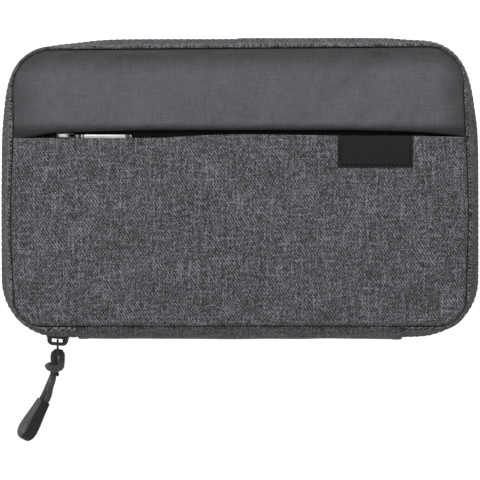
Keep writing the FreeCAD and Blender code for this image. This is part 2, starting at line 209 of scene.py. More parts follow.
def weave(shader, pitch_x, pitch_y, rising):
    """Threads of a two-and-two twill, a little uneven, as places across and along the threads, the numbers
    of the warp and weft threads, where the warp is on top, and the relief."""
    x, y = shader.cloth_xy()
    drift = shader.math("MULTIPLY_ADD", shader.noise(x, y, 140.0, 1.0), 1.6, -0.8)
    shift = shader.math("MULTIPLY_ADD", shader.noise(x, y, 170.0, 1.0, 9.0), 1.6, -0.8)
    across = shader.math("ADD", shader.math("DIVIDE", x, pitch_x), drift)
    along = shader.math("ADD", shader.math("DIVIDE", y, pitch_y), shift)
    warp, weft = shader.math("FLOOR", across), shader.math("FLOOR", along)
    step = shader.math("SUBTRACT" if rising else "ADD", warp, weft)
    turn = shader.math("FLOORED_MODULO", step, 4.0)
    on_top = shader.math("LESS_THAN", turn, 1.5)
    warp_side = shader.math("SINE", shader.math("MULTIPLY", shader.math("FRACT", across), math.pi))
    weft_side = shader.math("SINE", shader.math("MULTIPLY", shader.math("FRACT", along), math.pi))
    relief = shader.mix(on_top, weft_side, warp_side)
    return across, along, warp, weft, on_top, relief


def heather_material(name="heather_cloth", level=1.0, contrast=1.0, twill=0.28):
    """Melange cloth: dark and pale slubby yarns in a steep twill, with a few long pale threads each way."""
    s = Shader(name, 0.92, Sheen_Weight=0.06, Sheen_Roughness=0.6, Specular_IOR_Level=0.12)
    across, along, warp, weft, on_top, relief = weave(s, 0.00037, 0.00058, False)
    warp_slub = s.noise(s.math("MULTIPLY", warp, 7.31), s.math("MULTIPLY", along, 0.22), 1.0, 3.0)
    weft_slub = s.noise(s.math("MULTIPLY", across, 0.14), s.math("MULTIPLY", weft, 5.77), 1.0, 3.0, 4.0)
    streak = s.noise(s.math("MULTIPLY", across, 0.40), s.math("MULTIPLY", along, 0.035), 1.0, 2.0, 6.0)
    bar_streak = s.noise(s.math("MULTIPLY", across, 0.03), s.math("MULTIPLY", along, 0.5), 1.0, 2.0, 8.0)
    thread_id = s.node("ShaderNodeCombineXYZ", {0: warp, 1: weft}).outputs[0]
    fleck = s.node("ShaderNodeTexWhiteNoise", {"Vector": thread_id}, noise_dimensions="2D").outputs[0]
    x, y = s.cloth_xy()
    cloud = s.noise(x, y, 48.0, 2.0)
    tone = s.mix(on_top, weft_slub, warp_slub)
    parts = ((fleck, 0.56), (cloud, 0.18), (streak, 0.42), (bar_streak, 0.36), (on_top, twill))
    for part, share in parts:
        tone = s.math("ADD", tone, s.math("MULTIPLY_ADD", part, share, -share / 2))
    for part, share in ((streak, 0.15), (bar_streak, 0.12)):
        dip = s.math("MULTIPLY_ADD", s.fade(part, 0.56, 0.70, 0.0), -share, share * 0.85)
        tone = s.math("ADD", tone, dip)
    tone = s.math("MULTIPLY_ADD", tone, contrast, 0.5 - contrast / 2)
    dark, middle, pale = 0.016 * level, 0.066 * level, 0.24 * level
    colour = s.ramp(tone, ((0.12, cool(dark)), (0.50, cool(middle)), (0.94, cool(pale))))
    # Painted shade: the thread relief darkens the colour between the threads, besides raising the bump.
    s.colour(s.tint(colour, s.math("MULTIPLY_ADD", relief, 0.62, 0.52)))
    s.bump(relief, 0.00014, 0.6)
    return s.material


def twill_material():
    """Plain dark grey twill with a fine rising diagonal, and painted shade that darkens it towards its seams
    and its lower lip.
    """
    s = Shader("twill_cloth", 0.8, Sheen_Weight=0.08, Sheen_Roughness=0.5, Specular_IOR_Level=0.15)
    across, along, warp, weft, on_top, relief = weave(s, 0.00038, 0.00032, True)
    x, y = s.cloth_xy()
    yarn = s.noise(s.math("MULTIPLY", warp, 3.1), s.math("MULTIPLY", along, 0.05), 1.0)
    fill = s.noise(s.math("MULTIPLY", across, 0.05), s.math("MULTIPLY", weft, 2.7), 1.0, 2.0, 5.0)
    cloud = s.noise(x, y, 40.0, 2.0, 2.0)
    tone = s.mix(on_top, fill, yarn)
    for part, share in ((cloud, 0.16), (on_top, 0.42)):
        tone = s.math("ADD", tone, s.math("MULTIPLY_ADD", part, share, -share / 2))
    colour = s.ramp(tone, ((0.15, cool(0.047)), (0.85, cool(0.130))))
    # Painted shade: the thread relief darkens the colour between the threads, and the fades below darken it
    # towards the band's top seam, its lower lip, and its right and left seams, where the cloth turns down.
    shade = s.math("MULTIPLY_ADD", relief, 0.44, 0.72)
    for place, start, end, least in ((y, 0.055, 0.068, 0.50), (y, 0.0338, 0.0284, 0.42),
                                     (x, 0.098, 0.111, 0.62), (x, -0.092, -0.111, 0.70)):
        shade = s.math("MULTIPLY", shade, s.fade(place, start, end, least))
    s.colour(s.tint(colour, shade))
    s.bump(relief, 0.00010, 0.6)
    return s.material


def plain_cloth(name, value, pitch, relief_mm=0.08, sheen=0.1):
    """A plain weave in one tone, for linings, tapes, bindings and the label."""
    s = Shader(name, 0.9, Sheen_Weight=sheen, Specular_IOR_Level=0.1)
    x, y = s.cloth_xy()
    across, along = s.math("DIVIDE", x, pitch * MM), s.math("DIVIDE", y, pitch * MM)
    a = s.math("SINE", s.math("MULTIPLY", across, math.tau))
    b = s.math("SINE", s.math("MULTIPLY", along, math.tau))
    relief = s.math("MULTIPLY_ADD", s.math("MULTIPLY", a, b), 0.5, 0.5)
    yarn = s.noise(s.math("MULTIPLY", across, 1.7), s.math("MULTIPLY", along, 0.2), 1.0)
    # Painted shade: part of the tone follows the weave's relief, so the hollows between the yarns are darker.
    tone = s.math("MULTIPLY_ADD", relief, 0.35, s.math("MULTIPLY", yarn, 0.65))
    s.colour(s.ramp(tone, ((0.2, grey(value * 0.7)), (0.8, grey(value * 1.35)))))
    s.bump(relief, relief_mm * MM, 0.7)
    return s.material


def ribbed_cloth(name, value, pitch):
    """Elastic or binding tape: fine ribs across its width."""
    s = Shader(name, 0.8, Sheen_Weight=0.1, Specular_IOR_Level=0.25)
    x, y = s.cloth_xy()
    ribs = s.math("SINE", s.math("MULTIPLY", x, math.tau / (pitch * MM)))
    cross = s.math("SINE", s.math("MULTIPLY", y, math.tau / (0.6 * MM)))
    relief = s.math("MULTIPLY_ADD", s.math("MULTIPLY_ADD", cross, 0.3, ribs), 0.38, 0.5)
    # Painted shade: the colour follows the ribs' relief, darker in the grooves between them.
    s.colour(s.ramp(relief, ((0.0, grey(value * 0.55)), (1.0, grey(value * 1.4)))))
    s.bump(relief, 0.00012, 0.8)
    return s.material


def solid_material(name, value, roughness, metallic=0.0, grain=900.0, bump_mm=0.01, warm=0.0, **sockets):
    """Metal, nylon, rubber or foam: one tone with fine grain in its colour, gloss and surface."""
    s = Shader(name, roughness, Metallic=metallic, **sockets)
    fine = s.object_noise(grain)
    broad = s.object_noise(grain / 9)
    tone = s.math("MULTIPLY_ADD", fine, 0.5, s.math("MULTIPLY", broad, 0.5))
    s.colour(s.ramp(tone, ((0.3, grey(value * 0.82, warm)), (0.7, grey(value * 1.15, warm)))))
    s.rough(s.math("MULTIPLY_ADD", broad, 0.22, roughness - 0.11))
    s.bump(fine, bump_mm * MM, 0.6)
    return s.material


def braid_material():
    """Cord yarns: fine filaments that run along each strand."""
    s = Shader("cord", 0.75, Sheen_Weight=0.15, Specular_IOR_Level=0.3)
    x, y = s.cloth_xy()
    fibres = s.noise(s.math("MULTIPLY", x, 2600.0), s.math("MULTIPLY", y, 300.0), 1.0, 2.0)
    s.colour(s.ramp(fibres, ((0.3, grey(0.026)), (0.7, grey(0.085)))))
    s.bump(fibres, 0.00006, 0.6)
    return s.material


heather = heather_material()
twill = twill_material()
lining = plain_cloth("lining_cloth", 0.055, 0.9)
tape_cloth = plain_cloth("zip_tape", 0.007, 0.55)
label_cloth = plain_cloth("label_cloth", 0.0135, 0.5, 0.03, 0.02)
thread = plain_cloth("thread", 0.035, 0.3, 0.03)
label_thread = plain_cloth("label_thread", 0.0015, 0.3, 0.03, 0.0)
elastic = ribbed_cloth("elastic", 0.03, 1.3)
net = plain_cloth("mesh", 0.04, 0.4)
nylon = solid_material("zip_coil", 0.008, 0.5, Specular_IOR_Level=0.25)
gunmetal = solid_material("dark_metal", 0.05, 0.42, 0.55, 700.0, 0.006)
plated = solid_material("light_metal", 0.60, 0.42, 1.0, 500.0, 0.004)
# Two tones of one rubber: grip_rubber is lightened as painted light, for the grip's facets that face the
# lamps, and the darker copy is painted shade for the facet right of the ridge. The pocket pull's cap uses the
# lightened one.
rubber = solid_material("grip_rubber", 0.048, 0.42, 0.0, 1500.0, 0.02, Specular_IOR_Level=0.4)
shaded_facet_rubber = solid_material("grip_rubber_painted_shade", 0.013, 0.5, 0.0, 1500.0, 0.02, Specular_IOR_Level=0.3)
foam = solid_material("foam_board", 0.5, 0.95, 0.0, 1200.0, 0.1, 0.03)
cord_cloth = braid_material()
cord_heart = solid_material("cord_heart", 0.006, 0.9)
dark_lining = plain_cloth("pocket_cloth", 0.012, 0.6)


# ---------------------------------------------------------------- mesh making
def mesh_piece(name, points, faces, material, body, uv=None, levels=0, face_slots=None):
    """A mesh object from points in millimetres, riding on a body. uv is in metres, one pair a point."""
    mesh = bpy.data.meshes.new(name)
    mesh.from_pydata([tuple(p) for p in np.asarray(points, float) * MM], [], faces)
    for entry in material if isinstance(material, (list, tuple)) else [material]:
        mesh.materials.append(entry)
    if face_slots is not None:
        mesh.polygons.foreach_set("material_index", face_slots)
    layer = mesh.uv_layers.new(name="Cloth")
    if uv is not None:
        corners = np.zeros(len(mesh.loops), int)
        mesh.loops.foreach_get("vertex_index", corners)
        layer.data.foreach_set("uv", np.asarray(uv, float)[corners].ravel())
    mesh.polygons.foreach_set("use_smooth", [True] * len(mesh.polygons))
    mesh.validate()
    mesh.update()
    made = bpy.data.objects.new(name, mesh)
    bpy.context.scene.collection.objects.link(made)
    if levels:
        add_subdivision(made, levels)
    if body:
        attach(made, body)
    return made


def add_subdivision(made, levels):
    """Subdivision, the same in the view and in the render."""
    modifier = made.modifiers.new("Subdivision", "SUBSURF")
    modifier.levels = modifier.render_levels = levels


def add_thickness(made, thickness):
    """Thickness below the modelled surface."""
    modifier = made.modifiers.new("Thickness", "SOLIDIFY")
    modifier.thickness = thickness * MM
    modifier.offset = -1.0


def add_bevel(made, width, segments=3, angle=35):
    """Edges sharper than an angle in degrees are rounded."""
    modifier = made.modifiers.new("Bevel", "BEVEL")
    modifier.width = width * MM
    modifier.segments = segments
    modifier.limit_method = "ANGLE"
    modifier.angle_limit = math.radians(angle)


def settle(made, sewn, slack, pressure, cap):
    """Let a sheet's cloth settle between its sewn edges, by a short cloth simulation applied to its mesh.

    sewn lists the points that stay, and cap is the most, in millimetres, that any other point may move."""
    made.vertex_groups.new(name="sewn").add(sewn, 1.0, "REPLACE")
    cloth = made.modifiers.new("Cloth", "CLOTH")
    cloth.settings.quality = 8
    cloth.settings.mass = 0.15
    cloth.settings.tension_stiffness = cloth.settings.compression_stiffness = 20.0
    cloth.settings.shear_stiffness = 8.0
    cloth.settings.bending_stiffness = 0.4
    cloth.settings.vertex_group_mass = "sewn"
    cloth.settings.shrink_min = -slack
    cloth.settings.use_pressure = True
    cloth.settings.uniform_pressure_force = pressure
    cloth.settings.effector_weights.gravity = 0.0
    cloth.collision_settings.use_collision = False
    cloth.point_cache.frame_start = 1
    cloth.point_cache.frame_end = 24
    scene = bpy.context.scene
    for step in range(1, 25):
        scene.frame_set(step)
    settled = made.evaluated_get(bpy.context.evaluated_depsgraph_get()).to_mesh()
    before = np.array([v.co for v in made.data.vertices])
    after = np.array([v.co for v in settled.vertices])
    made.modifiers.remove(cloth)
    scene.frame_set(1)
    move = np.nan_to_num(after - before)
    size = np.maximum(np.linalg.norm(move, axis=1), 1e-9)[:, None]
    move *= cap * MM * np.tanh(size / (cap * MM)) / size
    made.data.vertices.foreach_set("co", (before + move).ravel())
    made.data.update()
    made.vertex_groups.clear()


def grid_faces(rows, columns, wrap_rows=False, wrap_columns=False, caps=False):
    """Quads over a grid of points stored row by row, optionally closed round and capped at its ends."""
    faces = []
    for r in range(rows if wrap_rows else rows - 1):
        for c in range(columns if wrap_columns else columns - 1):
            below, right = (r + 1) % rows, (c + 1) % columns
            faces.append((r * columns + c, r * columns + right, below * columns + right, below * columns + c))
    if caps:
        faces.append(tuple(r * columns for r in range(rows)))
        faces.append(tuple(r * columns + columns - 1 for r in reversed(range(rows))))
    return faces


def tube_faces(rings, around, inside_out=False):
    """The faces of a closed tube made of rings of points, with both its ends filled."""
    faces = grid_faces(rings, around, wrap_columns=True)
    faces.append(tuple(range(around)))
    faces.append(tuple(reversed(range((rings - 1) * around, rings * around))))
    return flipped(faces) if inside_out else faces


def flipped(faces):
    """Faces turned over, to look the other way."""
    return [tuple(reversed(face)) for face in faces]


def scatter(name, template, frames, material, body, levels=0):
    """Copies of one small shape, given as (points, faces), at many places, joined into one piece.

    A frame is (place, x axis, y axis, z axis)."""
    shape, shape_faces = template
    points, faces, uv = [], [], []
    for place, x_axis, y_axis, z_axis in frames:
        start = len(points)
        turned = place + shape[:, :1] * x_axis + shape[:, 1:2] * y_axis + shape[:, 2:] * z_axis
        points.extend(turned)
        uv.extend((p[0] * MM, p[1] * MM) for p in shape)
        faces.extend(tuple(i + start for i in face) for face in shape_faces)
    return mesh_piece(name, points, faces, material, body, uv, levels)


def bar(length, width, height, ring, bulge=0.0, ends=0.35):
    """A rounded bar along X, with its ends drawn in and an optional bulge at its far end."""
    places = ((0.0, ends), (0.08, 0.85), (0.3, 1.0), (0.7, 1.0 + bulge * 0.5),
              (0.92, 0.85 + bulge), (1.0, ends))
    points = []
    for t, size in places:
        for i in range(ring):
            a = math.tau * i / ring
            y, z = math.cos(a) * width / 2 * size, math.sin(a) * height / 2 * size
            points.append(((t - 0.5) * length, y, z))
    return np.array(points), tube_faces(len(places), ring, True)


STITCH = bar(2.2, 0.42, 0.2, 6)
FINE_STITCH = bar(1.3, 0.42, 0.2, 6)


def run_lengths(points):
    """The distance along a line of points to each of them."""
    return np.concatenate([[0], np.cumsum(np.linalg.norm(np.diff(points, axis=0), axis=1))])


def at_distance(distance, lengths, values):
    """The values given at a line's points, between them at a distance along it."""
    return np.array([np.interp(distance, lengths, column) for column in np.asarray(values).T])


def stitch_line(name, points, normals, material, body, pitch=STITCH_PITCH, template=STITCH):
    """Stitches at an even pitch along a line of points."""
    points, normals = np.array(points, float), np.array(normals, float)
    lengths = run_lengths(points)
    frames = []
    for i in range(int(lengths[-1] / pitch)):
        at = (i + 0.5) * pitch
        place = at_distance(at, lengths, points)
        ahead = at_distance(at + 0.4, lengths, points)
        up = unit(at_distance(at, lengths, normals))
        x_axis = unit(ahead - place)
        up = unit(up - x_axis * (up @ x_axis))
        frames.append((place, x_axis, np.cross(up, x_axis), up))
    return scatter(name, template, frames, material, body)


# ---------------------------------------------------------------- the case's outline
def swell(depth):
    """How far the wall has swollen, from 0 at a face to 1 at the middle plane."""
    return math.sin(math.pi / 2 * min(max(depth / MID, 0.0), 1.0))


def outline_sizes(share, inset):
    """The outline's half width, half height and corner radii, from 0 at a face to 1 at the middle."""
    half_w = FACE_HALF_W + (MID_HALF_W - FACE_HALF_W) * share - inset
    half_h = FACE_HALF_H + (MID_HALF_H - FACE_HALF_H) * share - inset
    top_r = FACE_TOP_R + (MID_TOP_R - FACE_TOP_R) * share - inset
    low_r = FACE_LOW_R + (MID_LOW_R - FACE_LOW_R) * share - inset
    return half_w, half_h, top_r, low_r


ARC_N, SIDE_N, TOP_N, LOW_N = 20, 44, 92, 9


def wall_half_h(z, inset):
    """Half the outline's height at a height z in the wall."""
    return outline_sizes(swell(MID - abs(z - MID)), inset)[1]


def outline_loop(share, inset, gap):
    """Points and outward directions anticlockwise round the case, from one side of a gap in the bottom edge
    to its other side. With no gap the loop is closed and starts at the middle of the bottom edge."""
    half_w, half_h, top_r, low_r = outline_sizes(share, inset)
    points, normals = [], []

    def straight(a, b, normal, count):
        for i in range(count):
            t = i / count
            points.append((a[0] + (b[0] - a[0]) * t, a[1] + (b[1] - a[1]) * t))
            normals.append(normal)

    def corner(x, y, radius, start):
        for i in range(ARC_N):
            a = math.radians(start + 90.0 * i / ARC_N)
            normals.append((math.cos(a), math.sin(a)))
            points.append((x + radius * math.cos(a), y + radius * math.sin(a)))

    low_n = LOW_N if gap else 50
    straight((gap, -half_h), (half_w - low_r, -half_h), (0, -1), low_n)
    corner(half_w - low_r, -half_h + low_r, low_r, -90)
    straight((half_w, -half_h + low_r), (half_w, half_h - top_r), (1, 0), SIDE_N)
    corner(half_w - top_r, half_h - top_r, top_r, 0)
    straight((half_w - top_r, half_h), (-half_w + top_r, half_h), (0, 1), TOP_N)
    corner(-half_w + top_r, half_h - top_r, top_r, 90)
    straight((-half_w, half_h - top_r), (-half_w, -half_h + low_r), (-1, 0), SIDE_N)
    corner(-half_w + low_r, -half_h + low_r, low_r, 180)
    straight((-half_w + low_r, -half_h), (-gap, -half_h), (0, -1), low_n)
    if gap:
        points.append((-gap, -half_h))
        normals.append((0, -1))
    return slacken(np.array(points), share), np.array(normals)


def slacken(points, share):
    """The case isn't a true rounded rectangle. Its wall is slack at the corners, each in its own way.
    Its face is narrowest across the band, its sides bow out below that, and its top seam rises a little
    to the right."""
    x, y = points[:, 0], points[:, 1]
    left, right, upper = x < 0, x > 0, y > 0

    def hump(value, middle, width):
        return np.exp(-((value - middle) / width) ** 2)

    def ease(value):
        value = np.clip(value, 0, 1)
        return value * value * (3 - 2 * value)

    inward_x = np.where(left, 2.1, -2.9) * hump(y, 49, 15) * np.clip((np.abs(x) - 95) / 15, 0, 1)
    inward_y = -np.where(left, 3.0 * hump(x, -93, 19) + 0.5, 1.2 * hump(x, 88, 10)) * upper
    inward_y *= np.clip((y - 50) / 18, 0, 1)
    rise = 0.9 * hump(x, 101, 12) * (right & ~upper) * np.clip((-y - 50) / 18, 0, 1)
    wall_move = np.stack([inward_x, inward_y + rise], 1)
    bow = hump(y, -14, 36)
    face_x = np.where(left, -2.2 * bow - 0.8 * hump(y, 50, 22), 1.6 * bow - 0.9 * hump(y, 54, 26))
    face_y = (0.1 + 0.8 * np.clip(x / 100, -1, 1)) * ease((y - 40) / 28)
    face_move = np.stack([face_x * ease((np.abs(x) - 60) / 50), face_y], 1)
    return points + share * wall_move + (1 - share) * face_move


def face_shape(points):
    """Points of a face piece, moved as the face's outline is."""
    points = np.array(points, float)
    points[:, :2] = slacken(points[:, :2], 0.0)
    return points


def along_outline(gap):
    """The distance round the middle outline of each of the loop's points."""
    points, _ = outline_loop(1.0, 0.0, gap)
    return run_lengths(points)


def ring_piece(name, profile, gap, material, body, front, ripple=None, levels=0, face_slots=None):
    """A closed band round the case. The profile is a loop of (depth from the face, inset)."""
    distance = along_outline(gap)
    points, uv, run = [], [], 0.0
    for k, (depth, inset) in enumerate(profile):
        if k:
            run += math.hypot(depth - profile[k - 1][0], inset - profile[k - 1][1])
        loop, normals = outline_loop(swell(depth), inset, gap)
        for i, (place, normal) in enumerate(zip(loop, normals)):
            push = ripple(distance[i], depth, inset) if ripple else 0.0
            x, y = place + normal * push
            z = max(depth, 0.1 * depth + 0.15)
            points.append((x, y, DEPTH - depth if front else z))
            uv.append((distance[i] * MM, run * 0.75 * MM))
    faces = grid_faces(len(profile), len(distance), wrap_rows=True, wrap_columns=not gap, caps=bool(gap))
    if not front:
        faces = flipped(faces)
    slots = None
    if face_slots is not None:
        per_row = len(distance) - 1 if gap else len(distance)
        slots = [face_slots(k) for k in range(len(profile)) for _ in range(per_row)]
        slots += [0] * (len(faces) - len(slots))
    return mesh_piece(name, points, faces, material, body, uv, levels, slots)


# ---------------------------------------------------------------- walls and main zip
# The wall's section, as (depth from the face, inset): rolled seam edge, outer side, hem and inner side.
WALL_PROFILE = ((2.6, 0.75), (1.4, 0.3), (0.5, -0.02), (-0.1, -0.35), (-0.28, -0.85), (-0.02, -1.4),
                (0.6, -1.7), (1.6, -1.6), (2.9, -1.2), (4.6, -0.8), (6.8, -0.5), (9.5, -0.35),
                (12.5, -0.25), (15.0, -0.1),
                (16.2, 0.05), (16.85, 0.35), (17.05, 0.8), (16.7, 1.15), (15.6, 1.3), (12.0, 1.3), (8.0, 1.3),
                (4.5, 1.1))
OUTER_ROWS = 16
EDGE_ROWS = range(1, 7)
WALL_STITCHES = (14.6, -0.24)  # the stitches' depth from the face, and inset


def wall_ripple(front):
    """A function that gives how far the wall stands out at a place, different on the two halves."""
    seed = 2.0 if front else 31.0

    def push(distance, depth, inset):
        if inset > 0.9:
            return 0.0
        window = math.sin(math.pi * smooth(depth / 17.0))
        soft = 0.38 * wobble(distance, depth * 1.5, 26.0, seed)
        soft += 0.16 * wobble(distance, depth, 9.0, seed + 5)
        pucker = 0.09 * wobble(distance, 0.0, 2.2, seed + 9) * smooth(1 - depth / 4.0)
        return window * soft + pucker
    return push


def wall_cloth(row):
    """Which of the wall's cloths a row of its faces has: 0 outside, 1 inside, 2 along the seam."""
    if row in EDGE_ROWS:
        return 2
    return int(row >= OUTER_ROWS)


def wall(front):
    """One half's soft wall, and the line of stitches beside the zip."""
    side = "front" if front else "rear"
    # The wall's outside and its seam edge take darkened copies of the face cloth, as painted shade.
    cloths = [shaded_wall_melange, lining, heather_edge]
    ripple = wall_ripple(front)
    made = ring_piece(side + "_gusset_cloth", WALL_PROFILE, WALL_GAP, cloths, None, front,
                      ripple, 1, wall_cloth)
    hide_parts(side + "_gusset")
    place_wall_piece(made, front)
    depth, inset = WALL_STITCHES
    loop, normals = outline_loop(swell(depth), inset, WALL_GAP)
    distance = along_outline(WALL_GAP)
    points = [(*(p + n * ripple(s, depth, inset)), DEPTH - depth if front else depth)
              for p, n, s in zip(loop, normals, distance)]
    stitches = stitch_line(side + "_gusset_stitches", points, [(*n, 0.0) for n in normals], thread, None)
    place_wall_piece(stitches, front)


def place_wall_piece(made, front):
    """The front wall and zip are sewn to the spine's ends; they are left on no body, fixed where they are,
    while the rear ones ride on the base.
    """
    if front:
        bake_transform(made)
    else:
        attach(made, "base")


TAPE_PROFILE = ((14.6, 2.35), (18.0, 2.75), (21.9, 3.0), (21.9, 3.6), (18.0, 3.35), (14.6, 2.95))


def main_zip(front):
    """One half of the main zip: its tape, and the turns of its coil, which mesh with the other half's."""
    side = "front" if front else "rear"
    tape = ring_piece(side + "_zip_tape_cloth", TAPE_PROFILE, WALL_GAP, tape_cloth, None, front)
    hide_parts("main_zip_tape_" + side)
    place_wall_piece(tape, front)
    pitch, length, overlap = 1.5, 3.1, 0.15
    loop, normals = outline_loop(1.0, 2.0, WALL_GAP + 1.6)
    lengths = run_lengths(loop)
    z = MID + (1 if front else -1) * (length / 2 - overlap)
    toward_middle = np.array([0, 0, -1.0 if front else 1.0])
    frames = []
    for i in range(int(lengths[-1] / pitch)):
        at = (i + (0.25 if front else 0.75)) * pitch
        place = np.array([*at_distance(at, lengths, loop), z])
        out = unit(np.array([*at_distance(at, lengths, normals), 0.0]))
        frames.append((place, toward_middle, np.cross(out, toward_middle), out))
    coil = scatter(side + "_zip_coil_turns", bar(length, 0.62, 1.7, 8, 0.12), frames, nylon, None)
    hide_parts("main_zip_coil_" + side)
    place_wall_piece(coil, front)


def spine():
    """The spine's cloth: doubled at its folded ends, stitched along them, and drawn in at both seams."""
    depths = [1.6, 0.8, 0.45, 0.9, 2.2, 4.5, 7.5, 11.0, 15.0, 19.0]
    heights = depths + [DEPTH / 2] + [DEPTH - d for d in reversed(depths)]
    near_face = [0.9, 0.3, -0.1, -0.3]
    insets = near_face + [-0.12] * (len(heights) - 8) + near_face[::-1]
    ends = [0.0, 0.25, 0.8, 1.6, 3.0, 4.2, 5.4]
    stations = [-SPINE_HALF + e for e in ends]
    count = 64
    inner = SPINE_HALF - ends[-1]
    stations += [-inner + 2 * inner * i / count for i in range(1, count)]
    stations += [SPINE_HALF - e for e in reversed(ends)]
    points, uv = [], []
    for z, inset in zip(heights, insets):
        half_h = wall_half_h(z, inset)
        for x in stations:
            from_end = SPINE_HALF - abs(x)
            hem = 0.45 * smooth(from_end / 0.9) - 0.25 * smooth((from_end - 4.0) / 1.6)
            body = math.sin(math.pi * z / DEPTH)
            soft = body * (0.22 * wobble(x, z, 16.0, 11.0) + 0.25 * wobble(x, z * 2, 44.0, 12.0))
            points.append((x, -half_h - hem - soft + 0.5 * (1 - smooth(from_end / 0.6)), z))
            uv.append((x * MM, z * 0.5 * MM))
    faces = grid_faces(len(heights), len(stations))
    # The spine takes a darkened copy of the face cloth, as painted shade on its downward side.
    made = mesh_piece("spine_cloth", points, faces, shaded_spine_melange, "base", uv)
    add_thickness(made, 0.8)
    add_subdivision(made, 1)
    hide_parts("spine_panel")
    for side in (-1, 1):
        for offset in (1.5, 4.6):
            x = side * (SPINE_HALF - offset)
            line = [(x, -wall_half_h(z, -0.12) - 0.28, z) for z in np.linspace(2.0, DEPTH - 2.0, 24)]
            stitch_line(f"spine_stitches_{'left' if side < 0 else 'right'}_{int(offset)}", line,
                        [(0, -1, 0)] * len(line), thread, "base", 2.8, bar(1.8, 0.4, 0.2, 6))


# ---------------------------------------------------------------- panels
def edge_distance(x, y, half_w, half_h, top_r, low_r):
    """How far inside the rounded outline a point is."""
    radius = top_r if y > 0 else low_r
    dx, dy = abs(x) - (half_w - radius), abs(y) - (half_h - radius)
    if dx > 0 and dy > 0:
        return radius - math.hypot(dx, dy)
    return radius - max(dx, dy)


def width_at(y, half_w, half_h, top_r, low_r):
    """Half the outline's width at a height."""
    radius = top_r if y > 0 else low_r
    over = abs(y) - (half_h - radius)
    if over <= 0:
        return half_w
    return half_w - radius + math.sqrt(max(radius**2 - over**2, 0.0))


EDGE_STEPS = (0.0, 0.35, 0.8, 1.4, 2.2, 3.2, 4.6, 6.4)


def even_with_fine_ends(length, step, fine_high=True):
    """Places from 0 to a length, closer together near the ends that meet a seam."""
    low = list(EDGE_STEPS)
    high = [length - e for e in reversed(EDGE_STEPS)] if fine_high else [length]
    count = max(2, int((high[0] - low[-1]) / step))
    middle = [low[-1] + (high[0] - low[-1]) * i / count for i in range(1, count)]
    return low + middle + high


def seam_roll(distance, drop, radius):
    """How far a sheet's surface falls towards its seam."""
    t = min(max(distance / radius, 0.0), 1.0)
    return drop * (1 - math.sqrt(1 - (1 - t) ** 2))


LIP_LINE = ((-112, 24.7), (-104, 24.8), (-99, 26.5), (-95, 27.2), (-90, 27.6), (-76, 27.9), (-62, 28.4),
            (-50, 28.8), (56, 28.85), (66, 28.45), (80, 28.2), (90, 27.8), (96, 27.3), (101, 26.8),
            (106, 26.2), (112, 25.5))
BRINK_LINE = ((-112, 24.7), (-38, 24.8), (-26, 25.7), (-8, 26.5), (10, 26.5), (36, 26.1), (50, 25.9),
              (86, 25.8), (112, 25.2))


def eased_line(line, x):
    """The height of a line of points at x, softened at its corners."""
    places = [p[0] for p in line]
    heights = [p[1] for p in line]
    return float(np.mean(np.interp([x - 3, x - 1, x + 1, x + 3], places, heights)))


def lip_y(x):
    """The band's lower edge, which arches over the pocket zip and comes down to it at both ends."""
    return eased_line(LIP_LINE, x)


def brink_y(x):
    """The lower panel's top edge, which stands higher right of the middle, up to the label and beyond."""
    return eased_line(BRINK_LINE, x)


def panel_relief(x, y):
    """The soft unevenness of the front panel, with some slack along its lower seam."""
    soft = 0.34 * wobble(x, y, 48.0, 21.0) + 0.12 * wobble(x, y, 17.0, 22.0)
    slack = 0.10 * wobble(x, y * 0.4, 7.0, 23.0) * smooth(1 - (y + FACE_HALF_H) / 14)
    return soft + slack


def edge_points(rows, columns, first_rows, last_rows):
    """The numbers of a grid's points that are sewn: its first and last rows and both ends of every row."""
    kept = []
    for r in range(rows):
        for c in range(columns):
            if r < first_rows or r >= rows - last_rows or c < 4 or c >= columns - 4:
                kept.append(r * columns + c)
    return kept


def lower_panel():
    """The heather front panel: a shallow crown, rolled at its seams, with its top edge folded under."""
    size = outline_sizes(0.0, SEAM_INSET)
    half_w, half_h, _, _ = size
    crown = 1.1
    rows = even_with_fine_ends(SLOT_LOW + half_h, 2.6, False)
    total = rows[-1]
    fold = ((-0.25, -0.06), (0.05, -0.3), (0.12, -0.7), (-0.15, -1.1), (-0.8, -1.3), (-2.4, -1.35))
    columns = even_with_fine_ends(2 * half_w, 2.4)
    points, uv = [], []

    def surface(x, y, d):
        t = (y + half_h) / (SLOT_LOW + half_h)
        drop = 0.85 + 0.85 * smooth((-y - 48) / 14)
        arch = crown * math.sin(math.pi * min(max(0.12 + 0.88 * t, 0), 1)) ** 0.7 * smooth(d / 26)
        return DEPTH - seam_roll(d, drop, 2.6) + arch * 0.75 + panel_relief(x, y) * smooth(d / 8)

    def row(f, dy=0.0, dz=0.0, extra=0.0):
        y_edge = -half_h + f * (brink_y(half_w) + half_h)
        edge = width_at(y_edge, *size)
        for c in columns:
            x = (c / half_w - 1) * edge
            y = -half_h + f * (brink_y(x) + half_h)
            z = surface(x, y, edge_distance(x, y, *size))
            points.append((x, y + dy, z + dz))
            uv.append((x * MM, (y + extra) * MM))

    for r in rows[:-1]:
        row(r / total)
    row(1.0, -0.6, 0.0)
    for k, (dy, dz) in enumerate(fold):
        row(1.0, dy, dz, 0.4 * (k + 1))
    faces = grid_faces(len(rows) + len(fold), len(columns))
    made = mesh_piece("front_panel_cloth", face_shape(points), faces, heather, "lid", uv)
    settle(made, edge_points(len(rows) + len(fold), len(columns), 4, len(fold) + 2), 0.006, 0.3, 0.7)
    add_thickness(made, 0.35)
    add_subdivision(made, 1)
    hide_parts("front_lower_panel")
    return height_above(made)


def height_above(made):
    """A function that gives the height of a sheet's upper surface at a point."""
    corners = [v.co.copy() for v in made.data.vertices]
    tree = BVHTree.FromPolygons(corners, [tuple(f.vertices) for f in made.data.polygons])

    def height(x, y):
        hit = tree.ray_cast(Vector((x * MM, y * MM, 1.0)), Vector((0, 0, -1)))[0]
        return hit.z / MM if hit else DEPTH
    return height


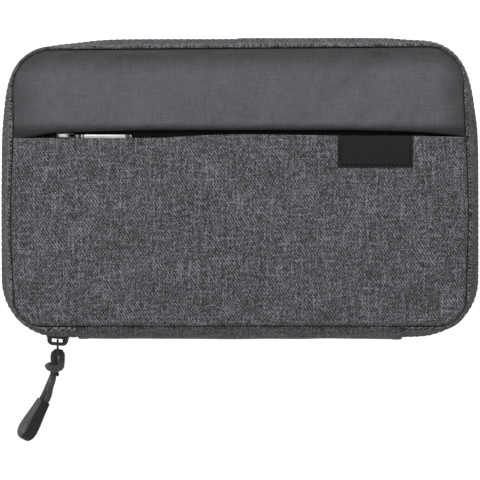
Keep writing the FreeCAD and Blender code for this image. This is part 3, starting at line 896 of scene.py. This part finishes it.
def band_height(x, y, d, size):
    """The puffed band: rolled over its lower edge, fullest low down, and flatter towards the top seam."""
    rise = y - lip_y(x)
    t = rise / (size[1] - lip_y(x))
    puff = 1.9 * (1 - 0.62 * smooth(t * 1.1)) * smooth(d / 16)
    lip = seam_roll(rise, 2.4, 3.4) * smooth(d / 9)
    soft = 0.30 * wobble(x, y, 40.0, 41.0) + 0.13 * wobble(x, y, 15.0, 42.0)
    pull = 0.16 * wobble(x * 1.6, y * 0.5, 9.0, 43.0) * smooth(1 - rise / 16)
    relief = (soft + pull) * smooth(d / 7) * smooth(rise / 4)
    return DEPTH - 0.35 - seam_roll(d, 0.85, 4.2) + puff - lip + relief


def upper_band():
    """The plain twill band over the pocket zip, its lower edge folded under in a soft roll."""
    size = outline_sizes(0.0, SEAM_INSET)
    half_w, half_h, _, _ = size
    rows = even_with_fine_ends(half_h - SLOT_HIGH, 2.0)
    total = rows[-1]
    fold = ((3.2, -0.9), (1.8, -0.9), (0.9, -0.8), (0.35, -0.55), (0.06, -0.28))
    columns = even_with_fine_ends(2 * half_w, 2.4)
    points, uv = [], []

    def row(f, dy=0.0, dz=0.0, extra=0.0):
        y_edge = lip_y(half_w) + f * (half_h - lip_y(half_w))
        edge = width_at(y_edge, *size)
        for c in columns:
            x = (c / half_w - 1) * edge
            y = lip_y(x) + f * (half_h - lip_y(x))
            z = band_height(x, y, edge_distance(x, y, *size), size)
            points.append((x, y + dy, z + dz))
            uv.append((x * MM, (y - extra) * MM))

    for k, (dy, dz) in enumerate(fold):
        row(0.0, dy, dz, 0.5 * (len(fold) - k))
    for r in rows:
        row(r / total)
    faces = grid_faces(len(rows) + len(fold), len(columns))
    made = mesh_piece("front_band_cloth", face_shape(points), faces, twill, "lid", uv)
    settle(made, edge_points(len(rows) + len(fold), len(columns), len(fold) + 5, 4), 0.012, 0.5, 0.9)
    add_thickness(made, 0.35)
    add_subdivision(made, 1)
    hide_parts("front_upper_band")


def label(surface):
    """The sewn patch, its upper edge tucked into the slot, with tone-on-tone stitches round three sides."""
    low, high = node_mm("label_patch")
    left, right, bottom, top = low[0], high[0], low[1], high[1]

    def at(x, y, lift):
        return (x, y, surface(x, min(y, brink_y(x) - 0.7)) + lift)

    xs = even_with_fine_ends(right - left, 2.0)
    ys = [(y, 0.0, 0.0) for y in even_with_fine_ends(top - bottom, 2.0, False)]
    ys += [(top - bottom, 0.18, -0.25), (top - bottom, 0.26, -0.7), (top - bottom, 0.1, -1.3)]
    points, uv = [], []
    for y, out, drop in ys:
        for x in xs:
            near = min(x, right - left - x, y)
            lift = 0.62 - 0.3 * (1 - smooth(near / 0.7)) + 0.08 * smooth(near / 4)
            reach = (brink_y(left + x) - 0.1 - bottom) / (top - bottom)
            points.append(at(left + x, bottom + y * reach + out, lift + drop))
            uv.append((x * MM, (y - drop) * MM))
    made = mesh_piece("label_cloth_patch", points, grid_faces(len(ys), len(xs)), label_cloth, "lid",
                      uv)
    add_thickness(made, 0.35)
    add_subdivision(made, 1)
    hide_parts("label_patch")
    m = 1.5
    path = [(left + m, top - 1.0), (left + m, bottom + m), (right - m, bottom + m), (right - m, top - 1.0)]
    for k, (a, b) in enumerate(zip(path, path[1:])):
        line = [at(a[0] + (b[0] - a[0]) * t, a[1] + (b[1] - a[1]) * t, 0.74) for t in np.linspace(0, 1, 30)]
        stitch_line(f"label_stitches_{k}", line, [(0, 0, 1)] * 30, label_thread, "lid", 2.1,
                    FINE_STITCH)


def rear_panel():
    """The rear face: the same melange cloth, flat where it rests, with its edge rolled up into the seam."""
    size = outline_sizes(0.0, SEAM_INSET)
    half_w, half_h, _, _ = size
    rows = even_with_fine_ends(2 * half_h, 3.4)
    columns = even_with_fine_ends(2 * half_w, 3.4)
    points, uv = [], []
    for r in rows:
        y = r - half_h
        edge = width_at(y, *size)
        for c in columns:
            x = (c / half_w - 1) * edge
            d = edge_distance(x, y, *size)
            sag = 0.16 * (0.5 + 0.5 * wobble(x, y, 30.0, 51.0)) * smooth(d / 6)
            points.append((x, y, 0.02 + seam_roll(d, 1.9, 2.6) + sag * (1 - smooth((d - 20) / 20))))
            uv.append((x * MM, y * MM))
    faces = flipped(grid_faces(len(rows), len(columns)))
    made = mesh_piece("rear_panel_cloth", face_shape(points), faces, heather, "base", uv)
    add_thickness(made, 0.5)
    add_subdivision(made, 1)
    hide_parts("rear_panel")


# ---------------------------------------------------------------- inside
def lining_sheet(node, name, material, down, body):
    """A lining: a thin sheet eased over the board, with a soft edge."""
    low, high = node_mm(node)
    z = (low[2] + high[2]) / 2
    inset = FACE_HALF_W - high[0]
    size = outline_sizes(0.0, inset)
    half_w, half_h, _, _ = size
    rows = even_with_fine_ends(2 * half_h, 5.0)
    columns = even_with_fine_ends(2 * half_w, 5.0)
    side = -1 if down else 1
    points, uv = [], []
    for r in rows:
        y = r - half_h
        edge = width_at(y, *size)
        for c in columns:
            x = (c / half_w - 1) * edge
            d = edge_distance(x, y, *size)
            ease = (0.12 + 0.14 * wobble(x, y, 22.0, 61.0)) * smooth(d / 10)
            points.append((x, y, z + side * ease))
            uv.append((x * MM, y * MM))
    faces = grid_faces(len(rows), len(columns))
    if down:
        faces = flipped(faces)
    made = mesh_piece(name, points, faces, material, body, uv)
    add_thickness(made, 0.3)
    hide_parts(node)


def binding(front):
    """The elastic tape bound round the seam inside one half, a flattened tube in section."""
    side, body = ("front", "lid") if front else ("rear", "base")
    low, high = node_mm(side + "_seam_binding")
    near = DEPTH - high[2] if front else low[2]
    far = near + (high[2] - low[2])
    seam_inset, middle, half_thickness, lean = 1.65, 0.8, 0.75, 0.12
    profile = []
    for i in range(10):
        a = math.tau * i / 10
        depth = (near + far) / 2 - math.cos(a) * (far - near) / 2
        inset = seam_inset + middle - math.sin(a) * half_thickness + (depth - near) * lean
        profile.append((depth, inset))
    made = ring_piece(side + "_binding_tape", profile, 0, elastic, body, front)
    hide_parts(side + "_seam_binding")


def elastic_loops(node, name):
    """Wide elastic tacked down at uneven steps: each stretch stands up a little between its bar tacks."""
    low, high = node_mm(node)
    tacks = [low[0] + 1.2]
    widths = (14, 14, 20, 20, 26, 14, 20, 26, 18)
    scale = (high[0] - low[0] - 2.4) / sum(widths)
    for width in widths:
        tacks.append(tacks[-1] + width * scale)
    columns = []
    for a, b in zip(tacks, tacks[1:]):
        columns += [a + (b - a) * i / 10 for i in range(10)]
    columns = [low[0], low[0] + 0.6] + columns + [tacks[-1], high[0] - 0.6, high[0]]
    base_z = low[2] + 0.35
    rows = even_with_fine_ends(high[1] - low[1], 3.0)
    points, uv = [], []
    for r in rows:
        near = min(r, high[1] - low[1] - r)
        for x in columns:
            gap = min(abs(x - t) for t in tacks)
            width = next((b - a for a, b in zip(tacks, tacks[1:]) if a <= x <= b), 2.0)
            lift = 0.95 * math.sin(math.pi * min(gap / width, 0.5)) ** 0.8
            points.append((x, low[1] + r, base_z + lift - 0.15 * (1 - smooth(near / 1.2))))
            uv.append((x * MM, r * MM))
    made = mesh_piece(name, points, grid_faces(len(rows), len(columns)), elastic, "base", uv)
    add_thickness(made, 0.7)
    add_subdivision(made, 1)
    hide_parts(node)
    tack = bar(high[1] - low[1] - 2.0, 0.9, 0.5, 8)
    middle = (low[1] + high[1]) / 2
    along, across, up = np.array([0, 1.0, 0]), np.array([-1.0, 0, 0]), np.array([0, 0, 1.0])
    frames = [(np.array([t, middle, base_z + 0.12]), along, across, up) for t in tacks]
    scatter(name + "_tacks", tack, frames, thread, "base")


def mesh_net():
    """The net pocket: a real open mesh of hexagonal holes."""
    low, high = node_mm("mesh_pocket")
    z = (low[2] + high[2]) / 2
    size = outline_sizes(0.0, FACE_HALF_W - high[0])
    cell = 2.9
    points, index, faces = [], {}, []

    def vertex(x, y):
        key = (round(x, 2), round(y, 2))
        if key not in index:
            index[key] = len(points)
            points.append((x, y, z + 0.2 * wobble(x, y, 20.0, 71.0)))
        return index[key]

    across, up = cell * math.sqrt(3), cell * 1.5
    corners = [math.pi / 3 * k for k in range(6)]
    for j in range(int((high[1] - low[1]) / up) + 2):
        for i in range(int((high[0] - low[0]) / across) + 2):
            cx = low[0] + across * (i + 0.5 * (j % 2))
            cy = low[1] + up * j
            ring = [(cx + cell * math.sin(a), cy + cell * math.cos(a)) for a in corners]
            if all(edge_distance(x, y, *size) > 0.6 and y < high[1] + 2 for x, y in ring):
                faces.append([vertex(x, y) for x, y in ring])
    uv = [(x * MM, y * MM) for x, y, _ in points]
    made = mesh_piece("net_pocket_mesh", points, faces, net, "lid", uv)
    wire = made.modifiers.new("Threads", "WIREFRAME")
    wire.thickness = 0.55 * MM
    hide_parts("mesh_pocket")


def net_edge():
    """The elastic tape that binds the net's free edge."""
    low, high = node_mm("mesh_pocket_binding")
    middle, half = (low[1] + high[1]) / 2, (high[1] - low[1]) / 2
    columns = list(np.linspace(low[0], high[0], 60))
    ring_points, uv = [], []
    count = 12
    for k in range(count):
        a = math.tau * k / count
        flat_y = math.copysign(abs(math.cos(a)) ** 0.5, math.cos(a))
        for x in columns:
            y = middle + half * flat_y
            ring_points.append((x, y, (low[2] + high[2]) / 2 + 0.45 * math.sin(a)))
            uv.append((x * MM, k * 1.2 * MM))
    faces = grid_faces(count, len(columns), wrap_rows=True, caps=True)
    made = mesh_piece("net_pocket_edge", ring_points, faces, elastic, "lid", uv)
    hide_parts("mesh_pocket_binding")


def spine_lining():
    """The lining inside the spine, which follows the curve of its wall."""
    low, high = node_mm("spine_lining")
    heights = np.linspace(low[2], high[2], 12)
    stations = np.linspace(low[0], high[0], 40)
    points, uv = [], []
    for z in heights:
        half_h = wall_half_h(z, 1.5)
        for x in stations:
            points.append((x, -half_h + 0.2 * wobble(x, z, 14.0, 81.0), z))
            uv.append((x * MM, z * MM))
    faces = flipped(grid_faces(len(heights), len(stations)))
    made = mesh_piece("spine_lining_cloth", points, faces, lining, "base", uv)
    add_thickness(made, 0.3)
    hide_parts("spine_lining")


# ---------------------------------------------------------------- pocket zip
def pocket_zip():
    """The pocket's flat zip: its tape and the two rows of coil turns."""
    low, high = node_mm("pocket_zip_tape")
    xs, ys = np.linspace(low[0], high[0], 60), np.linspace(low[1], high[1], 10)
    points = [(x, y, high[2] - 0.1 + 0.1 * wobble(x, y, 12.0, 91.0)) for y in ys for x in xs]
    uv = [(x * MM, y * MM) for y in ys for x in xs]
    tape = mesh_piece("pocket_zip_tape_cloth", points, grid_faces(10, 60), tape_cloth, "lid", uv)
    add_thickness(tape, 0.3)
    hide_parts("pocket_zip_tape")
    low, high = node_mm("pocket_zip_coil")
    pitch, frames = 1.2, []
    middle, z, up = (low[1] + high[1]) / 2, (low[2] + high[2]) / 2 + 0.05, np.array([0, 0, 1.0])
    for i in range(int((high[0] - low[0]) / pitch)):
        for side in (-1, 1):
            x = low[0] + (i + 0.5 + 0.25 * side) * pitch
            place = np.array([x, middle + side * 0.62, z])
            frames.append((place, np.array([0, -side, 0.0]), np.array([side, 0.0, 0]), up))
    coil = scatter("pocket_zip_coil_turns", bar(1.5, 0.5, 1.0, 8, 0.1), frames, nylon, "lid")
    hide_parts("pocket_zip_coil")


def rounded_plate(half_x, half_y, z0, z1, radius):
    """Points and faces of a plate with rounded corners in plan."""
    steps = 5
    loop = []
    for k, (sx, sy) in enumerate(((1, 1), (-1, 1), (-1, -1), (1, -1))):
        for i in range(steps + 1):
            a = math.radians(90 * k + 90 * i / steps)
            x = sx * (half_x - radius) + radius * math.cos(a)
            y = sy * (half_y - radius) + radius * math.sin(a)
            loop.append((x, y))
    n = len(loop)
    points = [(x, y, z0) for x, y in loop] + [(x, y, z1) for x, y in loop]
    faces = [tuple(reversed(range(n))), tuple(range(n, 2 * n))]
    faces += [(i, (i + 1) % n, n + (i + 1) % n, n + i) for i in range(n)]
    return np.array(points), faces


def arch(length, rise, width, thickness, base):
    """An upside-down U along X, standing on a base height: its outline is a rounded rectangle."""
    steps = 7
    half, radius = length / 2 - thickness / 2, min(rise * 0.55, length * 0.3)
    top = base + rise - thickness / 2
    centre = [(-half, base, -1.0, 0.0)]
    for side, start in ((-1, math.pi), (1, math.pi / 2)):
        for i in range(steps + 1):
            a = start - math.pi / 2 * i / steps
            nx, nz = math.cos(a), math.sin(a)
            centre.append((side * (half - radius) + radius * nx, top - radius + radius * nz, nx, nz))
    centre.append((half, base, 1.0, 0.0))
    points = []
    for x, z, nx, nz in centre:
        for side, out in ((-1, -1), (1, -1), (1, 1), (-1, 1)):
            shift = out * thickness / 2
            points.append((x + nx * shift, side * width / 2, z + nz * shift))
    return np.array(points), tube_faces(len(centre), 4)


def joined(parts):
    """Several shapes as one."""
    points, faces = [], []
    for shape, shape_faces in parts:
        start = len(points)
        points.extend(shape)
        faces.extend(tuple(i + start for i in face) for face in shape_faces)
    return np.array(points), faces


SMALL_BEVEL = 0.14


def pocket_slider():
    """The pocket's slider: a dark body with two skirts, and a bright bridge along it."""
    low, high = node_mm("pocket_zip_slider")
    x, y = (low[0] + high[0]) / 2, (low[1] + high[1]) / 2
    top = POCKET_PIVOT[2] - 0.8
    half_x, half_y = (high[0] - low[0]) / 2, (high[1] - low[1]) / 2
    body = [rounded_plate(half_x, half_y, top - 0.6, top, 1.5)]
    for side in (-1, 1):
        points, faces = rounded_plate(half_x - 0.6, 0.35, low[2] + 0.05, top - 0.3, 0.3)
        body.append((points + np.array([0, side * (half_y - 0.42), 0]), faces))
    bridge = arch(2 * half_x - 1.2, high[2] - top, 1.5, 0.75, top - 0.1)
    parts = (("body", joined(body), gunmetal, "dark_metal"), ("bridge", bridge, plated, "light_metal"))
    for name, (points, faces), finish, slot in parts:
        placed = points + np.array([x, y, 0])
        made = mesh_piece("pocket_slider_" + name, placed, faces, finish, "pocket_slider")
        add_bevel(made, SMALL_BEVEL)
        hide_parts("pocket_zip_slider")
    pocket_pull()


def block(xa, xb, ya, yb, za, zb):
    """A plain block's points and faces."""
    corners = [(xa, ya, za), (xb, ya, za), (xb, yb, za), (xa, yb, za),
               (xa, ya, zb), (xb, ya, zb), (xb, yb, zb), (xa, yb, zb)]
    faces = [(0, 3, 2, 1), (4, 5, 6, 7), (0, 1, 5, 4), (1, 2, 6, 5), (2, 3, 7, 6), (3, 0, 4, 7)]
    return np.array(corners, float), faces


def pocket_pull():
    """The pocket's pull: a dark link with an eye round the bridge, a bright bar, and a dark end cap."""
    low, high = node_mm("pocket_pull_bar")
    end, half, z = high[0] - POCKET_PIVOT[0], (high[1] - low[1]) / 2, 0.45
    upper = half - 0.55
    link = joined([block(-0.45, 0.65, -half, half, -z, z),
                   block(0.65, 5.6, -half, -0.66, -z, z),
                   block(0.65, 5.6, 0.66, half, -z, z),
                   block(5.6, 10.2, -half * 0.8, upper * 0.7, -z, z * 0.2)])
    bright = joined([block(6.6, 7.1, -half, upper, -z, z * 0.7),
                     block(9.0, 9.5, -half, upper, -z, z * 0.8),
                     block(10.2, end - 3.0, -half, upper, -z, z * 0.7),
                     block(11.4, end - 4.2, -half * 0.62, upper * 0.62, z * 0.6, z),
                     block(end - 0.55, end - 0.1, -half * 0.8, upper * 0.8, -z, z * 0.5)])
    cap = joined([block(end - 3.0, end - 0.9, -half * 0.95, upper * 0.95, -z, z * 0.8),
                  block(end - 0.9, end, -half, upper, -z, z * 0.3)])
    parts = (("link", link, gunmetal, "dark_metal"), ("blade", bright, plated, "light_metal"),
             ("cap", cap, rubber, "grip_rubber"))
    for name, (points, faces), finish, slot in parts:
        made = mesh_piece("pocket_pull_" + name, points + POCKET_PIVOT, faces, finish, "pocket_pull")
        add_bevel(made, SMALL_BEVEL)
        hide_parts("pocket_pull_bar")


# ---------------------------------------------------------------- main slider, tab, grip and cord
def round_frame():
    """The main slider's axes: its length, its depth along Z and its outward direction."""
    out = unit(np.array([PIVOT[0] - CORNER[0], PIVOT[1] - CORNER[1], 0.0]))
    return np.array([-out[1], out[0], 0.0]), np.array([0, 0, 1.0]), out


OUTER_PLATE_R = 30.3


def curved_plate(sections, inner, outer):
    """A plate bent round the corner between two radii. A section is (angle, low edge, high edge)."""
    points = []
    for angle, low, high in sections:
        for radius, edge in ((inner, low), (inner, high), (outer, high), (outer, low)):
            points.append((math.sin(angle) * radius, edge, math.cos(angle) * radius))
    return np.array(points), tube_faces(len(sections), 4)


def main_slider():
    """Two curved plates round the coil, their flanges and post, and the bridge that the tab hangs from."""
    length_dir, depth_dir, out = round_frame()
    low, high = node_mm("main_zip_slider")
    half_z, half_length = (high[2] - low[2]) / 2, 5.5
    plates = []
    for radius, thickness in ((OUTER_PLATE_R, 1.1), (25.9, 1.0)):
        sections = []
        for t in np.linspace(-1, 1, 13):
            width = half_z * (1 - 0.25 * smooth((abs(t) - 0.35) / 0.65) ** 1.2)
            sections.append((t * half_length / radius, -width, width))
        plates.append(curved_plate(sections, radius, radius + thickness))
    for side in (-1, 1):
        edges = sorted((side * half_z, side * (half_z - 0.6)))
        reach = (half_length - 1.6) / OUTER_PLATE_R
        plates.append(curved_plate([(t * reach, *edges) for t in np.linspace(-1, 1, 9)], 28.95, 30.6))
    post_points, post_faces = rounded_plate(1.0, 0.8, 26.8, 30.5, 0.5)
    post = (post_points + np.array([3.9, 0, 0]), post_faces)
    bridge = arch(10.6, 3.6, 2.1, 1.7, 31.1)
    cheeks = [block(x0, x1, -0.95, 0.95, 31.0, 33.5) for x0, x1 in ((-4.9, -2.9), (2.4, 4.9))]
    points, faces = joined([*plates, post, bridge, *cheeks])
    centre = np.array([CORNER[0], CORNER[1], MID])
    placed = centre + points[:, :1] * length_dir + points[:, 1:2] * depth_dir + points[:, 2:] * out
    made = mesh_piece("main_slider_body", placed, faces, gunmetal, "main_slider")
    add_bevel(made, 0.28)
    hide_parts("main_zip_slider")


TAB_DROOP = math.radians(8.0)


def on_tab(across, along, up):
    """A point given from the tab's pivot: across its plate, along it and up its edge."""
    along_dir = np.array([0, -math.cos(TAB_DROOP), -math.sin(TAB_DROOP)])
    up_dir = np.array([0, -math.sin(TAB_DROOP), math.cos(TAB_DROOP)])
    return PIVOT + np.array([across, 0, 0]) + along_dir * along + up_dir * up


def main_tab():
    """The metal tab keeps its CAD outline, and gains soft edges and a rim bead at its lower end."""
    source = frame["nodes"]["main_pull_tab"]
    mesh = source.data.copy()
    made = bpy.data.objects.new("main_tab_metal", mesh)
    bpy.context.scene.collection.objects.link(made)
    mesh.materials.clear()
    mesh.materials.append(gunmetal)
    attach(made, "main_pull")
    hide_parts("main_pull_tab")
    weld = made.modifiers.new("Weld", "WELD")
    weld.merge_threshold = 0.01 * MM
    add_bevel(made, 0.16, 2, 40)
    bead = bar(7.0, 1.7, 1.5, 10, 0.0, 0.5)
    place = on_tab(0, 16.9, 0)
    up = on_tab(0, 0, 1) - on_tab(0, 0, 0)
    along = on_tab(0, 1, 0) - on_tab(0, 0, 0)
    frames = [(place, up, np.array([1.0, 0, 0]), along)]
    scatter("main_tab_rim", bead, frames, gunmetal, "main_pull", 1)


GRIP_TOP = np.array([-98.6, -107.0, 0.0])
GRIP_HEADING = math.radians(241.0)
GRIP_ALONG = np.array([math.cos(GRIP_HEADING), math.sin(GRIP_HEADING), 0])
GRIP_SIDE = np.array([-math.sin(GRIP_HEADING), math.cos(GRIP_HEADING), 0])


def grip():
    """The moulded grip: a ridge runs down it off centre, with a thumb rest scooped in its left facet."""
    # sections as (distance from the top, width, height)
    stations = ((0.0, 6.6, 5.0), (0.25, 7.1, 5.5), (1.6, 7.3, 5.6), (5.0, 7.9, 5.9), (9.0, 8.9, 6.4),
                (13.0, 9.8, 6.8), (16.5, 10.2, 6.9), (19.2, 9.4, 6.5), (21.0, 7.4, 5.6),
                (21.8, 5.2, 4.4), (22.0, 3.4, 3.4))
    fine = []
    for (u0, w0, h0), (u1, w1, h1) in zip(stations, stations[1:]):
        fine += [(u0 + (u1 - u0) * k / 3, w0 + (w1 - w0) * k / 3, h0 + (h1 - h0) * k / 3) for k in range(3)]
    fine.append(stations[-1])
    points, uv, beyond_ridge = [], [], []
    around = 40
    for u, w, h in fine:
        lift = max(0.0, (5.2 - h) * 0.35)
        ridge = -1.1
        # corners of the section, anticlockwise from the lower left, with how far each is rounded
        corners = [(-w / 2, 0.30 * h), (-w / 2 + 0.26 * h, 0.0), (w / 2 - 0.26 * h, 0.0), (w / 2, 0.30 * h),
                   (w / 2 - 0.01 * w, 0.40 * h), (ridge, h), (ridge - 0.10 * w, 0.97 * h), (-w / 2, 0.56 * h)]
        lengths = [math.dist(corners[i], corners[(i + 1) % 8]) for i in range(8)]
        total = sum(lengths)
        for k in range(around):
            at = total * k / around
            i = 0
            while at > lengths[i]:
                at -= lengths[i]
                i += 1
            t = at / lengths[i]
            a = corners[i][0] + (corners[(i + 1) % 8][0] - corners[i][0]) * t
            b = corners[i][1] + (corners[(i + 1) % 8][1] - corners[i][1]) * t
            scoop = math.exp(-((((u - 15.8) / 3.2) ** 2 + ((a + 2.0) / 1.7) ** 2) ** 1.6))
            if b > 0.5 * h:
                b -= 1.15 * scoop
            points.append(GRIP_TOP + GRIP_ALONG * u + GRIP_SIDE * a + np.array([0, 0, lift + b + 0.02]))
            uv.append((u * MM, k * 0.6 * MM))
            beyond_ridge.append(a > ridge - 0.02 and b > 0.2 * h)
    faces = tube_faces(len(fine), around, True)
    # Faces beyond the ridge take the darker rubber: painted shade on the facet that turns away from the
    # light.
    painted_shade_slots = [int(all(beyond_ridge[i] for i in face)) for face in faces]
    finishes = [rubber, shaded_facet_rubber]
    made = mesh_piece("main_grip_moulding", points, faces, finishes, "main_pull",
                      uv, 1, painted_shade_slots)
    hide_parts("main_pull_grip")
    return made


def cord_route():
    """The cord's way from one end in the grip to the other, as in the part's own source."""
    strand = CORD_D / 2 + 0.1
    height, half_apart, half_step, straight = 2.7, 1.1, 0.95, 3.4
    middle = GRIP_TOP + np.array([0, 0, height])
    apart = GRIP_SIDE * half_apart + np.array([0, 0, half_step])
    ends = [middle - apart, middle + apart]
    return [ends[1],
            ends[1] - GRIP_ALONG * straight,
            np.array([-95.45, -101.0, 8.45]),
            np.array([-94.5, -98.1, 13.5]),
            np.array([-93.7, -95.7, 18.3]),
            on_tab(-1.95, 14.6, strand),
            on_tab(-1.95, 11.2, strand),
            on_tab(-2.2, 5.6, strand),
            on_tab(2.2, 5.6, strand),
            on_tab(2.1, 9.8, 2.0),
            on_tab(1.95, 12.5, 4.7),
            on_tab(-0.8, 13.2, 6.5),
            on_tab(-4.15, 12.9, 4.6),
            on_tab(-5.0, 12.7, 0.0),
            on_tab(-4.15, 12.9, -4.6),
            on_tab(-0.8, 13.2, -6.5),
            on_tab(1.95, 12.5, -4.7),
            on_tab(2.1, 9.8, -2.0),
            on_tab(2.2, 5.6, -strand),
            on_tab(-2.2, 5.6, -strand),
            on_tab(-1.95, 11.2, -strand),
            on_tab(-1.95, 14.0, -strand),
            np.array([-93.6, -93.5, 15.9]),
            np.array([-94.6, -95.7, 11.9]),
            np.array([-95.9, -98.75, 6.45]),
            ends[0] - GRIP_ALONG * straight,
            ends[0]]


def cord(grip_piece):
    """A limp braided cord: one smooth spline as its core, and eight strands plaited round it."""
    route = cord_route()
    curve = bpy.data.curves.new("pull_cord_core", "CURVE")
    curve.dimensions = "3D"
    spline = curve.splines.new("NURBS")
    spline.points.add(len(route) - 1)
    for point, place in zip(spline.points, route):
        point.co = (*(place * MM), 1.0)
    spline.order_u = 3
    spline.use_endpoint_u = True
    spline.resolution_u = 12
    core = bpy.data.objects.new("pull_cord_core", curve)
    bpy.context.scene.collection.objects.link(core)
    bpy.context.view_layer.update()
    line = bpy.data.meshes.new_from_object(core)
    points = np.array([v.co for v in line.vertices]) / MM
    bpy.data.meshes.remove(line)
    curve.bevel_depth = CORD_D * 0.52 * MM
    curve.bevel_resolution = 3
    curve.use_fill_caps = True
    curve.materials.append(cord_heart)
    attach(core, "main_pull")
    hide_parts("main_pull_cord")
    braid = strands(points)


def strands(line):
    """Eight strands, four each way round, that pass over and under each other along a line."""
    lengths = run_lengths(line)
    spacing = 0.42
    at = np.linspace(0, lengths[-1], int(lengths[-1] / spacing))
    centre = at_distance(at, lengths, line).T
    ahead = np.gradient(centre, axis=0)
    ahead /= np.linalg.norm(ahead, axis=1)[:, None]
    normal = unit(np.cross(ahead[0], [0.3, 0.2, 1.0]))
    normals = []
    for t in ahead:
        normal = unit(normal - t * (normal @ t))
        normals.append(normal)
    normals = np.array(normals)
    others = np.cross(ahead, normals)
    lay, count_each = 5.0, 4
    points, faces, uv = [], [], []
    ring = 6
    for way in (-1, 1):
        for k in range(count_each):
            phase = math.tau * k / count_each + (math.pi / count_each if way > 0 else 0)
            turn = way * math.tau * at / lay + phase
            weave_phase = at / lay * math.tau * count_each + (0 if way > 0 else math.pi)
            radius = CORD_D * 0.52 + 0.15 * np.cos(weave_phase)
            radial = normals * np.cos(turn)[:, None] + others * np.sin(turn)[:, None]
            path = centre + radial * radius[:, None]
            tangent = np.gradient(path, axis=0)
            tangent /= np.linalg.norm(tangent, axis=1)[:, None]
            flat = np.cross(tangent, radial)
            start = len(points)
            for i in range(len(at)):
                for j in range(ring):
                    a = math.tau * j / ring
                    points.append(path[i] + flat[i] * math.cos(a) * 0.37 + radial[i] * math.sin(a) * 0.30)
                    uv.append((j / ring * MM, at[i] * MM))
            faces += [tuple(v + start for v in f) for f in grid_faces(len(at), ring, wrap_columns=True)]
            faces.append(tuple(start + j for j in reversed(range(ring))))
            faces.append(tuple(start + (len(at) - 1) * ring + j for j in range(ring)))
    return mesh_piece("pull_cord_braid", points, faces, cord_cloth, "main_pull", uv)


# ---------------------------------------------------------------- floor, light and camera
def floor():
    """A white floor that fills the view, and isn't part of the object."""
    size = 4000.0
    points = [(-size, -size, -0.05), (size, -size, -0.05), (size, size, -0.05), (-size, size, -0.05)]
    mesh = bpy.data.meshes.new("floor")
    mesh.from_pydata([tuple(c * MM for c in p) for p in points], [], [(0, 1, 2, 3)])
    s = Shader("floor", 0.9, Base_Color=(0.30, 0.30, 0.30, 1.0), Specular_IOR_Level=0.0,
               Emission_Color=(1.0, 1.0, 1.0, 1.0), Emission_Strength=0.93)
    mesh.materials.append(s.material)
    made = bpy.data.objects.new("floor", mesh)
    bpy.context.scene.collection.objects.link(made)


LIGHTS = (  # name, place in metres, size and power; all look at the frame's origin
    ("key", (-0.4, 1.5, 1.5), 1.5, 46.0),
    ("side", (-2.0, 0.7, 1.1), 0.8, 9.0),
    ("fill", (0.5, -0.7, 2.0), 1.4, 4.0),
)
SKY_STRENGTH = 0.50
CAMERA_PLACE = (-0.00003, -0.0262, 8.0)  # far off, so that the view is nearly flat
VIEW_WIDTH = 0.2406  # metres seen across the picture, at half the case's depth
SENSOR = 36.0


def area_light(name, place, size, power):
    """A round lamp."""
    data = bpy.data.lights.new(name, "AREA")
    data.shape = "DISK"
    data.size = size
    data.energy = power
    made = bpy.data.objects.new(name, data)
    made.location = place
    made.rotation_euler = (Vector() - Vector(place)).to_track_quat("-Z", "Y").to_euler()
    bpy.context.scene.collection.objects.link(made)


def lights_and_camera():
    """A pale sky, three lamps, and a camera far above the front face."""
    world = bpy.data.worlds.new("studio")
    bpy.context.scene.world = world
    world.use_nodes = True
    background = world.node_tree.nodes["Background"]
    background.inputs[0].default_value = (1.0, 1.0, 1.0, 1.0)
    background.inputs[1].default_value = SKY_STRENGTH
    for light in LIGHTS:
        area_light(*light)
    data = bpy.data.cameras.new("camera")
    data.sensor_width = SENSOR
    data.lens = SENSOR * (CAMERA_PLACE[2] - MID * MM) / VIEW_WIDTH
    data.clip_end = 20.0
    camera = bpy.data.objects.new("camera", data)
    camera.location = CAMERA_PLACE
    bpy.context.scene.collection.objects.link(camera)
    bpy.context.scene.camera = camera
    bpy.context.scene.view_settings.view_transform = "Standard"


# ---------------------------------------------------------------- assembly
lights_and_camera()
floor()
# Darkened copies of the face cloth, as painted shade: the spine faces down, away from the lamps, and the
# walls face sideways and get less light than the face. The rolled seam edge is darkened less, with stronger
# contrast for its rope-like wrap.
shaded_spine_melange = heather_material("spine_heather_painted_shade", 0.58, 2.3, 0.30)
shaded_wall_melange = heather_material("wall_heather_painted_shade", 0.47, 2.1, 0.30)
heather_edge = heather_material("edge_heather", 0.78, 1.7)
cord(grip())
main_tab()
main_slider()
for in_front in (False, True):
    wall(in_front)
    main_zip(in_front)
    binding(in_front)
spine()
label(lower_panel())
upper_band()
rear_panel()
pocket_zip()
pocket_slider()
lining_sheet("rear_lining", "rear_lining_cloth", lining, False, "base")
lining_sheet("front_lining", "front_lining_cloth", lining, True, "lid")
lining_sheet("front_pocket_back", "pocket_back_cloth", dark_lining, False, "lid")
spine_lining()
elastic_loops("elastic_loops_upper", "loop_strip_upper")
elastic_loops("elastic_loops_lower", "loop_strip_lower")
mesh_net()
net_edge()

CAD_FINISH = {"rear_foam_board": foam, "front_foam_board": foam, "main_zip_end_stops": gunmetal,
              "pocket_zip_stops": tape_cloth}
for node, finish in CAD_FINISH.items():
    frame["nodes"][node].data.materials.clear()
    frame["nodes"][node].data.materials.append(finish)
